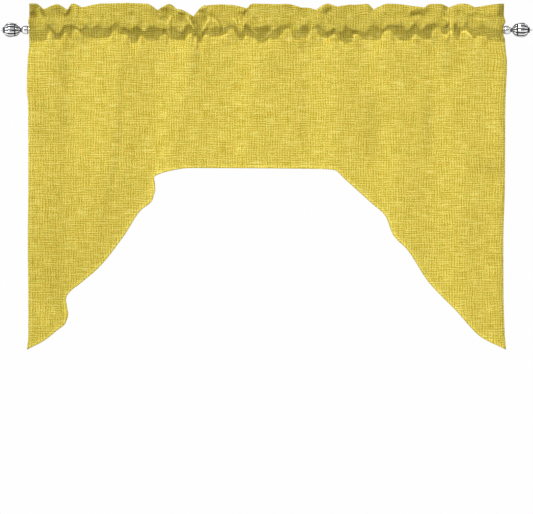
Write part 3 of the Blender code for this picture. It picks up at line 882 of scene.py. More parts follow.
def blurred(values, passes):
    """Each cell averaged with its neighbours, some passes over."""
    for _ in range(passes):
        for axis in (0, 1):
            values = 0.5 * values + 0.25 * (np.roll(values, 1, axis) + np.roll(values, -1, axis))
    return values


relief += RIPPLE_HEIGHT * blurred(ripples, RIPPLE_PASSES)
relief = blurred(relief, 1)
pocket = (grid_z < POCKET_TOP_Z) & (grid_z > JOIN_Z)
relief = np.where(pocket, np.maximum(relief, rod_clearance(grid_z)), relief)


def between_cells(values, x, z):
    """A map read between its cells."""
    column = np.clip((x - MAP_X[0]) / CELL, 0, len(MAP_X) - 1.001)
    row = np.clip((z - MAP_Z[0]) / CELL, 0, len(MAP_Z) - 1.001)
    i, j = column.astype(int), row.astype(int)
    fx, fz = column - i, row - j
    low = mix(values[j, i], values[j, i + 1], fx)
    high = mix(values[j + 1, i], values[j + 1, i + 1], fx)
    return mix(low, high, fz)


def stands_out(x, z):
    """How far the front stands forwards of the rod's middle, in millimetres."""
    return between_cells(relief, x, z)


print("relief runs from", round(float(relief.min()), 1), "to", round(float(relief.max()), 1), "mm")

# %% [markdown]
# ## The cloth as one sheet
# The sheet is one surface that starts at the turned-in edge behind the pocket, goes up the back,
# over the top of the ruffle, down the front and on into the panel. The heading is a grid of rows
# and columns, with the columns closest where creases are sharpest.

# %% Rows and columns of the heading
FINE_STEP = 1.3
PLAIN_STEP = 2.9
FINE_SPANS_PX = ((165, 174), (186, 214), (219, 223.5), (234, 246), (443, 460))
BACK_ROWS = 5
HEADING_ROWS = 14
FRONT_ROWS = 37
TOP_ROUND = 0.7
FLAP_Z = -33.0
FLAP_MIDDLE_Z = -28.5
LAYER_GAP = 2.4
# The pocket's back: z, and how far forwards of the rod's middle it is at a puff and at a tuck.
BACK_WALL = ((-17.0, -7.0, -9.0), (-8.0, -11.5, -12.3), (3.0, -13.4, -12.2), (12.0, -12.6, -8.6),
             (21.0, -8.6, -3.6))


def column_places():
    """x of each column: close together in the fine spans, wider elsewhere."""
    places = [-HALF_WIDTH]
    spans = [tuple(across(span)) for span in FINE_SPANS_PX]
    while places[-1] < HALF_WIDTH:
        fine = any(low < places[-1] < high for low, high in spans)
        places.append(places[-1] + (FINE_STEP if fine else PLAIN_STEP))
    places = np.array(places)
    return mix(-HALF_WIDTH, HALF_WIDTH, (places - places[0]) / (places[-1] - places[0]))


column_x = column_places()
column_top = heading_top(column_x)
column_draw = drawn(column_x)
sheet_rows = []


def add_row(z, behind=0.0, at_z=None):
    """One row at z, some way behind the front; at_z is where the front is read, if elsewhere."""
    z = np.broadcast_to(z, column_x.shape)
    sheet_rows.append((z, stands_out(column_x, z if at_z is None else at_z) - behind))


# from the turned-in edge up the back
for z in (FLAP_Z, FLAP_MIDDLE_Z, POCKET_FOOT_Z):
    add_row(z, LAYER_GAP)
for z, puff_out, tuck_out in BACK_WALL:
    sheet_rows.append((np.full_like(column_x, z), mix(puff_out, tuck_out, column_draw)))
for climb in np.linspace(0.0, 1.0, BACK_ROWS):
    add_row(mix(POCKET_TOP_Z, column_top, climb), mix(LAYER_GAP, 2 * HEADING_HALF, climb))
add_row(column_top + TOP_ROUND, HEADING_HALF, at_z=column_top)
back_rows = len(sheet_rows)

# down the front
for climb in np.linspace(1.0, 0.0, HEADING_ROWS):
    add_row(mix(POCKET_TOP_Z, column_top, climb))
for z in np.linspace(POCKET_TOP_Z, JOIN_Z, FRONT_ROWS + 1)[1:]:
    add_row(z)
print(len(column_x), "columns,", back_rows, "rows behind and", len(sheet_rows) - back_rows, "in front")

# %% [markdown]
# ## The panel
# The panel's cut edge slants and curves, and a grid would meet it in steps. So the panel is filled
# with triangles that follow the edge exactly (a constrained Delaunay mesh). Its points are the
# outline, rows of points beside the edges that carry the hem's step, and a loose honeycomb between.

# %% Panel under the pocket
HEM_WIDTH = 8.0
CUT_HEM_STEPS = (1.4, 4.2, 7.4, 9.0)
SIDE_HEM_STEPS = CUT_HEM_STEPS[2:]
HEM_CLEAR = CUT_HEM_STEPS[-1] + 4.0
JOIN_CLEAR = 4.0
ROW_CLEAR = 2.0
CORNER_CLEAR = 0.6 * CUT_HEM_STEPS[-1]
KEPT_DISTANCE = 0.8
SIDE_STEP = 8.0
CUT_STEP = 5.5
CUT_SAMPLES = 4000
FINE_DEPTH_Z = -130.0
LOWEST_Z = -850.0
FINE_MESH = 6.0
PLAIN_MESH = 9.6
JOIN_TOLERANCE = 1e-4


def spaced(points, step):
    """Points along the line, about step apart."""
    points = np.asarray(points, float)
    run = np.concatenate(([0.0], np.cumsum(np.hypot(*np.diff(points, axis=0).T))))
    wanted = np.linspace(0.0, run[-1], max(2, round(run[-1] / step) + 1))
    return np.column_stack([np.interp(wanted, run, points[:, axis]) for axis in (0, 1)])


edge_x = np.linspace(-HALF_WIDTH, HALF_WIDTH, CUT_SAMPLES)
cut_line = spaced(np.column_stack((edge_x, cut_edge(edge_x))), CUT_STEP)
join_line = np.column_stack((column_x, np.full_like(column_x, JOIN_Z)))
right_line = spaced([(HALF_WIDTH, JOIN_Z), cut_line[-1]], SIDE_STEP)
left_line = spaced([cut_line[0], (-HALF_WIDTH, JOIN_Z)], SIDE_STEP)
outline = np.vstack((join_line, right_line[1:], cut_line[::-1][1:], left_line[1:-1]))


def edge_distance(points, line):
    """How far each point is from the line."""
    nearest = np.full(len(points), np.inf)
    for start, end in zip(line, line[1:]):
        span = end - start
        t = np.clip(((points - start) @ span) / max(1e-9, span @ span), 0.0, 1.0)
        nearest = np.minimum(nearest, np.hypot(*(points - start - t[:, None] * span).T))
    return nearest


def inset(line, distance):
    """The line moved sideways to its left by distance."""
    along = np.gradient(line, axis=0)
    along /= np.hypot(*along.T)[:, None]
    return line + distance * np.column_stack((-along[:, 1], along[:, 0]))


def honeycomb(low, high, step):
    """Points a step apart between two heights, every second row half a step over."""
    rise = step * math.sqrt(0.75)
    return np.array([(x + (row % 2) * 0.5 * step, z)
                     for row, z in enumerate(np.arange(low, high, rise))
                     for x in np.arange(-HALF_WIDTH, HALF_WIDTH, step)])


def inside(points):
    """Which points lie on the panel."""
    x, z = points.T
    return (np.abs(x) < HALF_WIDTH) & (z < JOIN_Z) & (z > cut_edge(x))


loose = np.vstack((honeycomb(FINE_DEPTH_Z, JOIN_Z, FINE_MESH),
                   honeycomb(LOWEST_Z, FINE_DEPTH_Z, PLAIN_MESH)))
loose = loose[inside(loose)]
loose = loose[(edge_distance(loose, cut_line) > HEM_CLEAR)
              & (HALF_WIDTH - np.abs(loose[:, 0]) > HEM_CLEAR)
              & (loose[:, 1] < JOIN_Z - JOIN_CLEAR)]
hem_rows = []
for line, others, distances in ((cut_line, (right_line, left_line), CUT_HEM_STEPS),
                                (right_line, (cut_line, left_line), SIDE_HEM_STEPS),
                                (left_line, (cut_line, right_line), SIDE_HEM_STEPS)):
    for distance in distances:
        row = inset(line, distance)
        row = row[inside(row)]
        clear = edge_distance(row, line) > KEPT_DISTANCE * distance
        for other in others:
            clear &= edge_distance(row, other) > CORNER_CLEAR
        hem_rows.append(row[clear & (row[:, 1] < JOIN_Z - ROW_CLEAR)])
given_points = [Vector(point) for point in np.vstack([outline, *hem_rows, loose])]
ring = [(i, (i + 1) % len(outline)) for i in range(len(outline))]
filled = geometry.delaunay_2d_cdt(given_points, ring, [], 1, JOIN_TOLERANCE)
panel_points, _, panel_faces, panel_from = filled[:4]
print(len(panel_points), "points and", len(panel_faces), "triangles in the panel")

# %% [markdown]
# ## Put the sheet together
# Heading and panel share the row of points at JOIN_Z, so the sheet has no seam there. A map of the
# flat cloth goes with it: how far each point lies along and down the cloth, measured over the folds.
# The weave follows it, so its yarns keep their size where the cloth folds away from the viewer.

# %% Put the sheet together
HEM_LIFT = 0.35
HEM_LEAD = 1.0
HEM_FADE = 1.6
CUT_LINE_WIDTH = 0.8
CUT_LINE_FADE = 2.6
WEAVE_LEVEL_Z = -150.0

level_x = np.broadcast_to(column_x, (len(sheet_rows), len(column_x)))
level_z = np.array([z for z, out in sheet_rows])
level_out = np.array([out for z, out in sheet_rows])
panel_xz = np.array([(p[0], p[1]) for p in panel_points])
cut_away = edge_distance(panel_xz, cut_line)
side_away = HALF_WIDTH - np.abs(panel_xz[:, 0])
edge_away = np.minimum(cut_away, side_away)
on_cut = np.where(cut_away < side_away, 1.0 - ease((edge_away - CUT_LINE_WIDTH) / CUT_LINE_FADE), 0.0)
in_hem = 1.0 - ease((edge_away - HEM_WIDTH + HEM_LEAD) / HEM_FADE)
panel_out = stands_out(panel_xz[:, 0], panel_xz[:, 1]) + HEM_LIFT * in_hem

# the panel's points on the join are the heading's last row, so only the others are added
columns = len(column_x)
grid_points = len(sheet_rows) * columns
joined = {}
added_points = []
for new, old in enumerate(panel_from):
    on_join = [i for i in old if i < columns]
    if on_join:
        joined[new] = grid_points - columns + on_join[0]
    else:
        joined[new] = grid_points + len(added_points)
        added_points.append(new)


def with_heading(of_heading, of_panel):
    """One value for each point of the sheet, the heading's first."""
    heading_values = np.broadcast_to(of_heading, level_x.shape).ravel()
    return np.concatenate((heading_values, of_panel[added_points]))


x_all = with_heading(level_x, panel_xz[:, 0])
z_all = with_heading(level_z, panel_xz[:, 1])
out_all = with_heading(level_out, panel_out)
hem_all = with_heading(0.0, in_hem)
cut_all = with_heading(0.0, on_cut)

# along the cloth it is measured over the folds of one level, and down the cloth from the join
fold_out = stands_out(column_x, np.full_like(column_x, WEAVE_LEVEL_Z))
run_along = np.concatenate(([0.0], np.cumsum(np.hypot(np.diff(column_x), np.diff(fold_out)))))
row_steps = np.hypot(np.diff(level_z, axis=0), np.diff(level_out, axis=0))
run_down = np.vstack((np.zeros((1, columns)), np.cumsum(row_steps, axis=0)))
run_down -= run_down[-1:]
flat_u = with_heading(run_along, np.interp(panel_xz[:, 0], column_x, run_along))
flat_v = with_heading(run_down, JOIN_Z - panel_xz[:, 1])

places = np.column_stack((strayed(x_all, z_all), -out_all, z_all)) * MM
faces = [(a, a + columns, a + columns + 1, a + 1)
         for row in range(len(sheet_rows) - 1) for a in range(row * columns, (row + 1) * columns - 1)]
faces += [tuple(joined[i] for i in face) for face in panel_faces]
mesh = bpy.data.meshes.new("valance_cloth")
mesh.from_pydata(places.tolist(), [], faces)
print(len(mesh.vertices), "points,", len(mesh.polygons), "faces")

# %% [markdown]
# ## Faces outwards
# Every face has an outer side, and the thickness will grow away from it. An open sheet has no
# inside that Blender could find, so the faces are first made to agree with each other, and then all
# of them are turned if the lowest one looks to the back.

# %% Faces outwards
maker = bmesh.new()
maker.from_mesh(mesh)
print("points without a face:", sum(not v.link_faces for v in maker.verts))
bmesh.ops.recalc_face_normals(maker, faces=maker.faces)
lowest_face = min(maker.faces, key=lambda f: f.calc_center_median().z)
if lowest_face.normal.y > 0:
    bmesh.ops.reverse_faces(maker, faces=maker.faces)
maker.to_mesh(mesh)
maker.free()
mesh.shade_smooth()
print("faces turned outwards:", len(mesh.polygons))

# %% [markdown]
# ## Marks on the sheet
# Some things only the mesh knows, and the finish reads them from it. The flat map places the yarns.
# One mark is painted shade where a second layer or the rod behind keeps light from coming through
# the cloth, one carries the painted shade and painted highlight of the gloom map, and `edge` is the
# fine dark line of the cut.

# %% Flat map and marks
BACKED_START = 1.5
BACKED_FADE = 3.5
HEADING_BACKING = 0.55
HEADING_START = 3.0
HEADING_FADE = 5.0
SIDE_HEM = 20.0
SIDE_HEM_FADE = 4.0
SIDE_HEM_PANEL = 0.25
SIDE_HEM_HEADING = 0.9
SIDE_HEM_CHANGE = 12.0
MOST_BACKED = 1.5
HEM_LIT = 0.5


def mark(name, values):
    """Keeps one number for each point of the cloth."""
    mesh.attributes.new(name, "FLOAT", "POINT").data.foreach_set("value", values.astype(np.float32))


weave_map = mesh.uv_layers.new(name="weave")
corner = np.zeros(len(mesh.loops), np.int32)
mesh.loops.foreach_get("vertex_index", corner)
corner_uv = np.column_stack((flat_u[corner], flat_v[corner])).astype(np.float32).ravel() * MM
weave_map.data.foreach_set("uv", corner_uv)

# painted shade: where the rod and a second layer lie behind, and in the side hems, the cloth is darkened as
# if less light came through it from behind
painted_backing_shade = ease((z_all - np.interp(x_all, MAP_X, foot_z) + BACKED_START) / BACKED_FADE)
painted_backing_shade *= mix(1.0, HEADING_BACKING, ease((z_all - POCKET_TOP_Z + HEADING_START) / HEADING_FADE))
side_hem = ease((SIDE_HEM - (HALF_WIDTH - np.abs(x_all))) / SIDE_HEM_FADE)
side_hem *= mix(SIDE_HEM_PANEL, SIDE_HEM_HEADING, ease((z_all - POCKET_TOP_Z) / SIDE_HEM_CHANGE))
mark("painted_backing_shade", np.minimum(MOST_BACKED, painted_backing_shade + side_hem))
# painted shade and highlight from the map; the hem's roll gets a painted highlight
mark("painted_shading", np.clip(between_cells(painted_shade_map, x_all, z_all) - HEM_LIT * hem_all, -1.0, 1.0))
mark("edge", cut_all)
print("marks:", [attribute.name for attribute in mesh.attributes if attribute.data_type == "FLOAT"])

# %% [markdown]
# ## Thickness
# A sheet without a thickness shows no edge. Modelling the second side by hand would double the work,
# so the Solidify modifier grows it, twice as thick in the hems, which a vertex group tells it.

# %% Thickness
CLOTH_THICKNESS = 0.8
THICKNESS_STEPS = (0.5, 0.75, 1.0)
HALF_STEP = 0.125

valance = bpy.data.objects.new("valance_cloth", mesh)
bpy.context.scene.collection.objects.link(valance)
thick = valance.vertex_groups.new(name="thickness")
for weight in THICKNESS_STEPS:
    chosen = np.nonzero(np.abs(0.5 + 0.5 * hem_all - weight) <= HALF_STEP)[0]
    thick.add(chosen.tolist(), weight, "REPLACE")
solid = valance.modifiers.new("thickness", "SOLIDIFY")
solid.thickness = 2 * CLOTH_THICKNESS * MM
solid.offset = -1.0
solid.vertex_group = "thickness"
print("cloth", CLOTH_THICKNESS, "mm thick, twice that in the hems")

# %% [markdown]
# ## The weave
# Seen close, the cloth is a plain weave of uneven yarns: some pale, some thick, some olive or a
# little orange. A picture of cloth would do it, but it blurs up close and repeats. The shader reads
# the flat map instead and works the yarns out, so they follow every fold. Single threads go over
# and under each other, and thick places come in rows both ways, as a coarser grid of pale spots.

# %% Threads and thick places
SLUB_ACROSS = 6.7 * MM
SLUB_DOWN = 6.0 * MM
THREAD = 1.1 * MM
linen = Finish("yellow linen weave")
flat_map = linen.add("ShaderNodeUVMap", {"uv_map": "weave"})
wander = linen.noise(flat_map, 16.0) - 0.5
u = linen.add("ShaderNodeSeparateXYZ", {}, {0: flat_map}, output=0) + wander * 0.006
v = linen.add("ShaderNodeSeparateXYZ", {}, {0: flat_map}, output=1) + wander * 0.005

warp, weft = u / THREAD, v / THREAD
weft_on_top = ((warp.floor() + weft.floor()) * 0.5).fraction() * 2.0
warp_round = (warp.fraction() * math.pi).sine()
weft_round = (weft.fraction() * math.pi).sine()
threads = warp_round * 0.6 + weft_round * 0.4 + weft_on_top * (weft_round - warp_round) * 0.2

warp_slubs = (u / SLUB_ACROSS * math.tau).sine() * 0.5 + 0.5
weft_slubs = (v / SLUB_DOWN * math.tau).sine() * 0.5 + 0.5
patch = linen.noise(flat_map, 38.0).over(0.38, 0.24)
slubs = warp_slubs * weft_slubs * 0.5 + (weft_slubs + patch * (warp_slubs - weft_slubs)) * 0.4
print(len(linen.nodes), "nodes for threads and thick places")

# %% [markdown]
# Each yarn gets a shade of its own that drifts along its length. Noise does that when it is
# stretched: quick across the yarn, slow along it. All unevenness is then added up to one lightness
# between a deep and a light yellow. It is stronger where the cloth is backed, because there no light
# comes through from behind to even it out.

# %% Shades of the yarns
QUICK = 270.0
SLOW = 24.0
DEEP_YELLOW = (0.46, 0.335, 0.011, 1)
LIGHT_YELLOW = (0.88, 0.735, 0.145, 1)
warp_yarn = linen.noise(linen.point(u * QUICK, v * SLOW), 1.0, 1.0)
weft_yarn = linen.noise(linen.point(u * SLOW + 7.0, v * QUICK), 1.0, 1.0)
speckle = linen.noise(flat_map, 390.0, 1.0)
mottle = linen.noise(flat_map, 42.0, 2.0)
painted_backing_share = linen.marked("painted_backing_shade")
unevenness = ((warp_yarn - 0.5) * 0.85 + (weft_yarn - 0.5) * 0.85 + (speckle - 0.5) * 2.4
              + (slubs - 0.32) * 1.1 + (threads - 0.64) * 0.3 + (mottle - 0.5) * 0.2)
lightness = 0.5 + (1.0 + painted_backing_share * 0.4) * unevenness
colour = linen.tint(lightness, DEEP_YELLOW, LIGHT_YELLOW)
print(len(linen.nodes), "nodes with the shades")

# %% [markdown]
# A few stretches of yarn are pale, rusty or olive, wherever a noise is high. Then the marks tint the
# cloth: painted shade where it is backed, painted shade in a hollow and a painted highlight on a crest,
# and darkest on the cut edge. The same threads raise a fine bump, so light catches on them.

# %% Odd yarns, marks and bump
ODD_YARNS = (
    (weft_yarn.over(0.64, 0.1) * 0.3, (0.93, 0.81, 0.28, 1)),
    (linen.noise(linen.point(u * 60.0, v * 95.0), 1.0).over(0.68, 0.08) * 0.3, (0.76, 0.50, 0.055, 1)),
    (linen.noise(linen.point(u * 80.0 + 9.0, v * 70.0), 1.0).over(0.64, 0.1) * 0.18,
     (0.50, 0.50, 0.045, 1)))
PAINTED_SHADE_WHERE_BACKED = (0.44, 0.445, 0.35, 1)
PAINTED_SHADE_TINT = (0.64, 0.63, 0.51, 1)
PAINTED_HIGHLIGHT_TINT = (1.38, 1.38, 1.6, 1)
CUT_TINT = (0.25, 0.24, 0.01, 1)
for yarn_share, yarn_colour in ODD_YARNS:
    colour = linen.tint(yarn_share, colour, yarn_colour)
painted_shading_share = linen.marked("painted_shading")
# painted shade where the cloth is backed
colour = linen.tint(painted_backing_share * 0.44, colour, PAINTED_SHADE_WHERE_BACKED, way="MULTIPLY")
# painted shade in hollows, then a painted highlight on crests
colour = linen.tint(painted_shading_share, colour, PAINTED_SHADE_TINT, way="MULTIPLY")
colour = linen.tint(painted_shading_share * -1.0, colour, PAINTED_HIGHLIGHT_TINT, way="MULTIPLY")
colour = linen.tint(linen.marked("edge") * 0.4, colour, CUT_TINT)
yarn_height = threads * 0.7 + slubs * 0.5 + (warp_yarn + weft_yarn) * 0.4
bump = linen.add("ShaderNodeBump", {}, {"Strength": 0.35, "Distance": 0.0006, "Height": yarn_height})
linen.give(Base_Color=colour, Roughness=0.92, Normal=bump, Sheen_Weight=0.08, Sheen_Roughness=0.5,
           Specular_IOR_Level=0.25)
mesh.materials.append(linen.material)
print("linen finish on", valance.name)

# %% [markdown]
# ## Stitches
# A lockstitch shows as a line of short, slightly plump threads. There are more than two thousand,
# alike but for a little in size, so Geometry Nodes repeat one thread along a curve. The tree has
# inputs for its sizes, and Realize Instances makes its copies real, because the export drops copies.

# %% Tree that sews along a curve
STITCH_SEED = 3
UNEVEN_STITCHES = (0.85, 1.1)
tree = bpy.data.node_groups.new("sewing", "GeometryNodeTree")
tree.interface.new_socket("Line", in_out="INPUT", socket_type="NodeSocketGeometry")
for name, kind in (("Spacing", "NodeSocketFloat"), ("Length", "NodeSocketFloat"),
                   ("Thickness", "NodeSocketFloat"), ("Thread", "NodeSocketMaterial")):
    tree.interface.new_socket(name, in_out="INPUT", socket_type=kind)
tree.interface.new_socket("Stitches", in_out="OUTPUT", socket_type="NodeSocketGeometry")


def grown(kind, settings=None, **sockets):
    """A node of the sewing tree, with its settings and what its sockets get."""
    node = tree.nodes.new(kind)
    for name, value in (settings or {}).items():
        setattr(node, name, value)
    for name, value in sockets.items():
        socket = node.inputs[name.replace("_", " ")]
        if isinstance(value, bpy.types.NodeSocket):
            tree.links.new(value, socket)
        else:
            socket.default_value = value
    return node


given = tree.nodes.new("NodeGroupInput").outputs
spots = grown("GeometryNodeResampleCurve", {"mode": "LENGTH"}, Curve=given["Line"], Length=given["Spacing"])
short_thread = grown("GeometryNodeMeshUVSphere", Segments=6, Rings=4, Radius=0.5)
stitch_size = grown("ShaderNodeCombineXYZ", X=given["Thickness"], Y=given["Thickness"], Z=given["Length"])
stitch = grown("GeometryNodeTransform", Geometry=short_thread.outputs[0], Scale=stitch_size.outputs[0])
tangent = tree.nodes.new("GeometryNodeInputTangent")
turn = grown("FunctionNodeAlignRotationToVector", {"axis": "Z"}, Vector=tangent.outputs[0])
uneven = grown("FunctionNodeRandomValue", {"data_type": "FLOAT"}, Seed=STITCH_SEED)
limits = [socket for socket in uneven.inputs if socket.type == "VALUE" and socket.enabled]
for socket, value in zip(limits, UNEVEN_STITCHES):
    socket.default_value = value
random_size = [socket for socket in uneven.outputs if socket.enabled][0]
sewn = grown("GeometryNodeInstanceOnPoints", Points=spots.outputs[0], Instance=stitch.outputs[0],
             Rotation=turn.outputs[0], Scale=random_size)
plain = grown("GeometryNodeRealizeInstances", Geometry=sewn.outputs[0])
smooth = grown("GeometryNodeSetShadeSmooth", Geometry=plain.outputs[0])
dyed = grown("GeometryNodeSetMaterial", Geometry=smooth.outputs[0], Material=given["Thread"])
tree.links.new(dyed.outputs[0], tree.nodes.new("NodeGroupOutput").inputs[0])
print(len(tree.nodes), "nodes in the sewing tree")

# %% [markdown]
# The thread is cotton in the colours of the cloth, with a fine twist. `sewn_rows` draws its lines as
# curves, hangs the sewing tree on them as a modifier, sets the tree's inputs by their identifiers,
# and keeps the result as a plain mesh.

# %% Thread, and how a row is sewn
STITCH_SPACING = 3.4 * MM
STITCH_LENGTH = 2.9 * MM
THREAD_THICKNESS = 0.55 * MM
THREAD_DARK = (0.62, 0.50, 0.09, 1)
THREAD_LIGHT = (0.88, 0.76, 0.24, 1)
TWIST = 900.0


def on_object(finish):
    """Places on the piece itself, in metres."""
    return finish.add("ShaderNodeTexCoord", output=3)


cotton = Finish("sewing thread")
twist = cotton.noise(on_object(cotton), TWIST, 1.0, "3D")
cotton.give(Base_Color=cotton.tint(twist, THREAD_DARK, THREAD_LIGHT), Roughness=0.7)


def sewn_rows(name, lines):
    """Stitches along some lines of (x, out, z) points in millimetres, as one plain mesh."""
    curve = bpy.data.curves.new(name, "CURVE")
    curve.dimensions = "3D"
    for x, out, z in lines:
        spline = curve.splines.new("POLY")
        spline.points.add(len(x) - 1)
        placed = np.column_stack((strayed(x, z), -out, z)) * MM
        spline.points.foreach_set("co", np.column_stack((placed, np.ones(len(x)))).ravel())
    drawn_line = bpy.data.objects.new(name + " line", curve)
    bpy.context.scene.collection.objects.link(drawn_line)
    sewing = drawn_line.modifiers.new("sewing", "NODES")
    sewing.node_group = tree
    wanted = {"Spacing": STITCH_SPACING, "Length": STITCH_LENGTH, "Thickness": THREAD_THICKNESS,
              "Thread": cotton.material}
    for item in tree.interface.items_tree:
        if item.in_out == "INPUT" and item.name in wanted:
            sewing[item.identifier] = wanted[item.name]
    bpy.context.view_layer.update()
    evaluated = drawn_line.evaluated_get(bpy.context.evaluated_depsgraph_get())
    stitches = bpy.data.objects.new(name, bpy.data.meshes.new_from_object(evaluated))
    stitches.data.name = name
    bpy.context.scene.collection.objects.link(stitches)
    bpy.data.objects.remove(drawn_line)
    print(name, len(stitches.data.polygons), "faces")
    return stitches


print("cotton thread,", round(THREAD_THICKNESS / MM, 2), "mm thick")

# %% [markdown]
# The heading has two rows of stitching, at the top and the foot of the pocket. They pass through both
# layers, so each row is sewn on the front and on the turned-back layer. The narrow hems have one row
# each, in front and behind. The curves follow the relief map, and each set of rows becomes one mesh.

# %% Rows of stitching
THREAD_RISE = 0.05
SEAM_POINTS = 2.0
SEAM_END = 6.0
SEAM_WAVER = 0.5
SEAM_WAVE = 37.0
SEAM_LEVELS = (POCKET_TOP_Z - 0.3, POCKET_FOOT_Z + 0.2)
HEM_SEAM = HEM_WIDTH - 2.0
HEM_SEAM_LEAST = HEM_WIDTH - 2.4
seam_x = np.arange(-HALF_WIDTH + SEAM_END, HALF_WIDTH - SEAM_END, SEAM_POINTS)

seams = []
for seam_level in SEAM_LEVELS:
    seam_z = np.full_like(seam_x, seam_level) + SEAM_WAVER * np.sin(seam_x / SEAM_WAVE)
    in_front = stands_out(seam_x, seam_z) + THREAD_RISE
    for behind in (0.0, LAYER_GAP + 2 * THREAD_RISE):
        seams.append((seam_x, in_front - behind, seam_z))
heading_stitches = sewn_rows("heading_stitches", seams)

hem_seams = []
for line in (cut_line, right_line, left_line):
    seam = spaced(inset(line, HEM_SEAM), SEAM_POINTS)
    seam = seam[inside(seam) & (edge_distance(seam, line) > HEM_SEAM_LEAST)]
    x, z = seam.T
    for forwards in (HEM_LIFT + THREAD_RISE, -2 * CLOTH_THICKNESS + HEM_LIFT - THREAD_RISE):
        hem_seams.append((x, stands_out(x, z) + forwards, z))
hem_stitches = sewn_rows("hem_stitches", hem_seams)

# %% [markdown]
# ## Chrome finials
# Each finial is cast and plated: a neck, a short fluted cone, a groove and a fluted melon. It is
# turned from a profile in the way a lathe would, and the twelve flutes are pressed in by making
# the radius smaller along twelve lines. The melon is closed by a small cap with a bead, and a plain
# collar joins each finial to the rod. How deep a point lies in a groove or joint is kept as a mark,
# for the painted shade and painted shadow there.

# %% Turned and fluted pieces
ROD_END = 627.5
FLUTES = 12
SIDES_PER_FLUTE = 12
PLAIN_SIDES = 64
FLUTE_DEPTH = 0.16
FLUTE_SHARPNESS = 1.5
FLUTE_TURN = math.radians(4.5)
FLUTE_FADE = 2.5
SHARP_EDGE = math.radians(60)
# Where the flutes start and end along the finial: the cone's and the melon's.
FLUTED = ((18.5, 33.5), (33.5, 64.5))
# Joints with painted shadow: place along the finial, half width, darkness.
PAINTED_RING_SHADOWS = ((34.0, 2.4, 1.0), (18.2, 2.8, 1.0), (64.6, 1.5, 0.7), (0.0, 2.2, 0.9))
# Profiles of the three pieces, from the outer end inwards: radius, and place along the finial.
FINIAL_SKIN = ((6.0, 63.2), (7.6, 62.6), (11.5, 61.2), (15.4, 58.1), (18.0, 53.6), (19.2, 48.5),
               (19.1, 43.5), (18.4, 38.4), (17.7, 35.2), (16.1, 34.5), (16.1, 33.0), (17.1, 32.3),
               (16.5, 30.0), (13.4, 26.0), (9.0, 22.5), (5.6, 20.0), (5.1, 17.7), (6.5, 16.5),
               (6.5, 15.7))
CAP_SKIN = ((1.6, 68.7), (1.9, 67.2), (4.6, 66.7), (7.3, 66.0), (8.2, 65.0), (7.9, 64.0), (7.2, 63.5))
COLLAR_SKIN = ((7.2, 15.4), (9.3, 13.5), (10.6, 11.0), (11.0, 8.2), (11.0, 2.4), (10.6, 0.5), (10.3, 0.0))


def rounded(skin, per_step):
    """More points on the profile, on a smooth curve through the given ones."""
    skin = np.asarray(skin, float)
    run = np.concatenate(([0.0], np.cumsum(np.hypot(*np.diff(skin, axis=0).T))))
    wanted = np.concatenate([np.linspace(a, b, per_step, endpoint=False) for a, b in zip(run, run[1:])])
    wanted = np.append(wanted, run[-1])
    return np.column_stack([through(run, skin[:, axis], wanted) for axis in (0, 1)])


def lathe(name, side, profile, sides, fluted):
    """A closed turned piece on a rod end; its profile runs from its outer end to the rod."""
    around = np.arange(sides) / sides * math.tau
    turned_in = (1.0 - np.abs(np.sin((around - side * FLUTE_TURN) * FLUTES / 2))) ** FLUTE_SHARPNESS
    vertices, faces, painted_groove_shades = [], [], []
    for radius, along in profile:
        depth = sum(float(ease((along - start) / FLUTE_FADE) * ease((end - along) / FLUTE_FADE))
                    for start, end in (FLUTED if fluted else ()))
        painted_ring_shadow = max(dark * float(ease(1.0 - abs(along - at) / reach)) for at, reach, dark in PAINTED_RING_SHADOWS)
        for angle, groove in zip(around, turned_in):
            pressed = radius * (1.0 - FLUTE_DEPTH * groove * depth)
            vertices.append((side * (ROD_END + along), pressed * math.sin(angle), pressed * math.cos(angle)))
            # painted shade in the flutes, with the painted shadow of the joints
            painted_groove_shades.append(max(painted_ring_shadow, groove * min(1.0, depth)))
    for ring_at in range(len(profile) - 1):
        for at in range(sides):
            after = (at + 1) % sides
            a, b = ring_at * sides, (ring_at + 1) * sides
            faces.append((a + at, a + after, b + after, b + at))
    for ring_at, along in ((0, profile[0][1]), (len(profile) - 1, profile[-1][1])):
        vertices.append((side * (ROD_END + along), 0.0, 0.0))
        painted_groove_shades.append(0.0)
        for at in range(sides):
            faces.append((ring_at * sides + at, ring_at * sides + (at + 1) % sides, len(vertices) - 1))
    data = bpy.data.meshes.new(name)
    data.from_pydata([tuple(c * MM for c in p) for p in vertices], [], faces)
    shaper = bmesh.new()
    shaper.from_mesh(data)
    bmesh.ops.recalc_face_normals(shaper, faces=shaper.faces)
    shaper.to_mesh(data)
    shaper.free()
    data.shade_smooth()
    data.set_sharp_from_angle(angle=SHARP_EDGE)
    painted_shade_mark = data.attributes.new("groove", "FLOAT", "POINT")
    painted_shade_mark.data.foreach_set("value", np.array(painted_groove_shades, np.float32))
    thing = bpy.data.objects.new(name, data)
    bpy.context.scene.collection.objects.link(thing)
    return thing


print("a ring of a finial has", FLUTES * SIDES_PER_FLUTE, "points")

# %% [markdown]
# Both ends of the rod get the same pieces, mirrored. Hidden parts are turned too: the bead closes
# the cap, the finial's spigot lies in a socket of the collar, and the collar sleeves the rod.

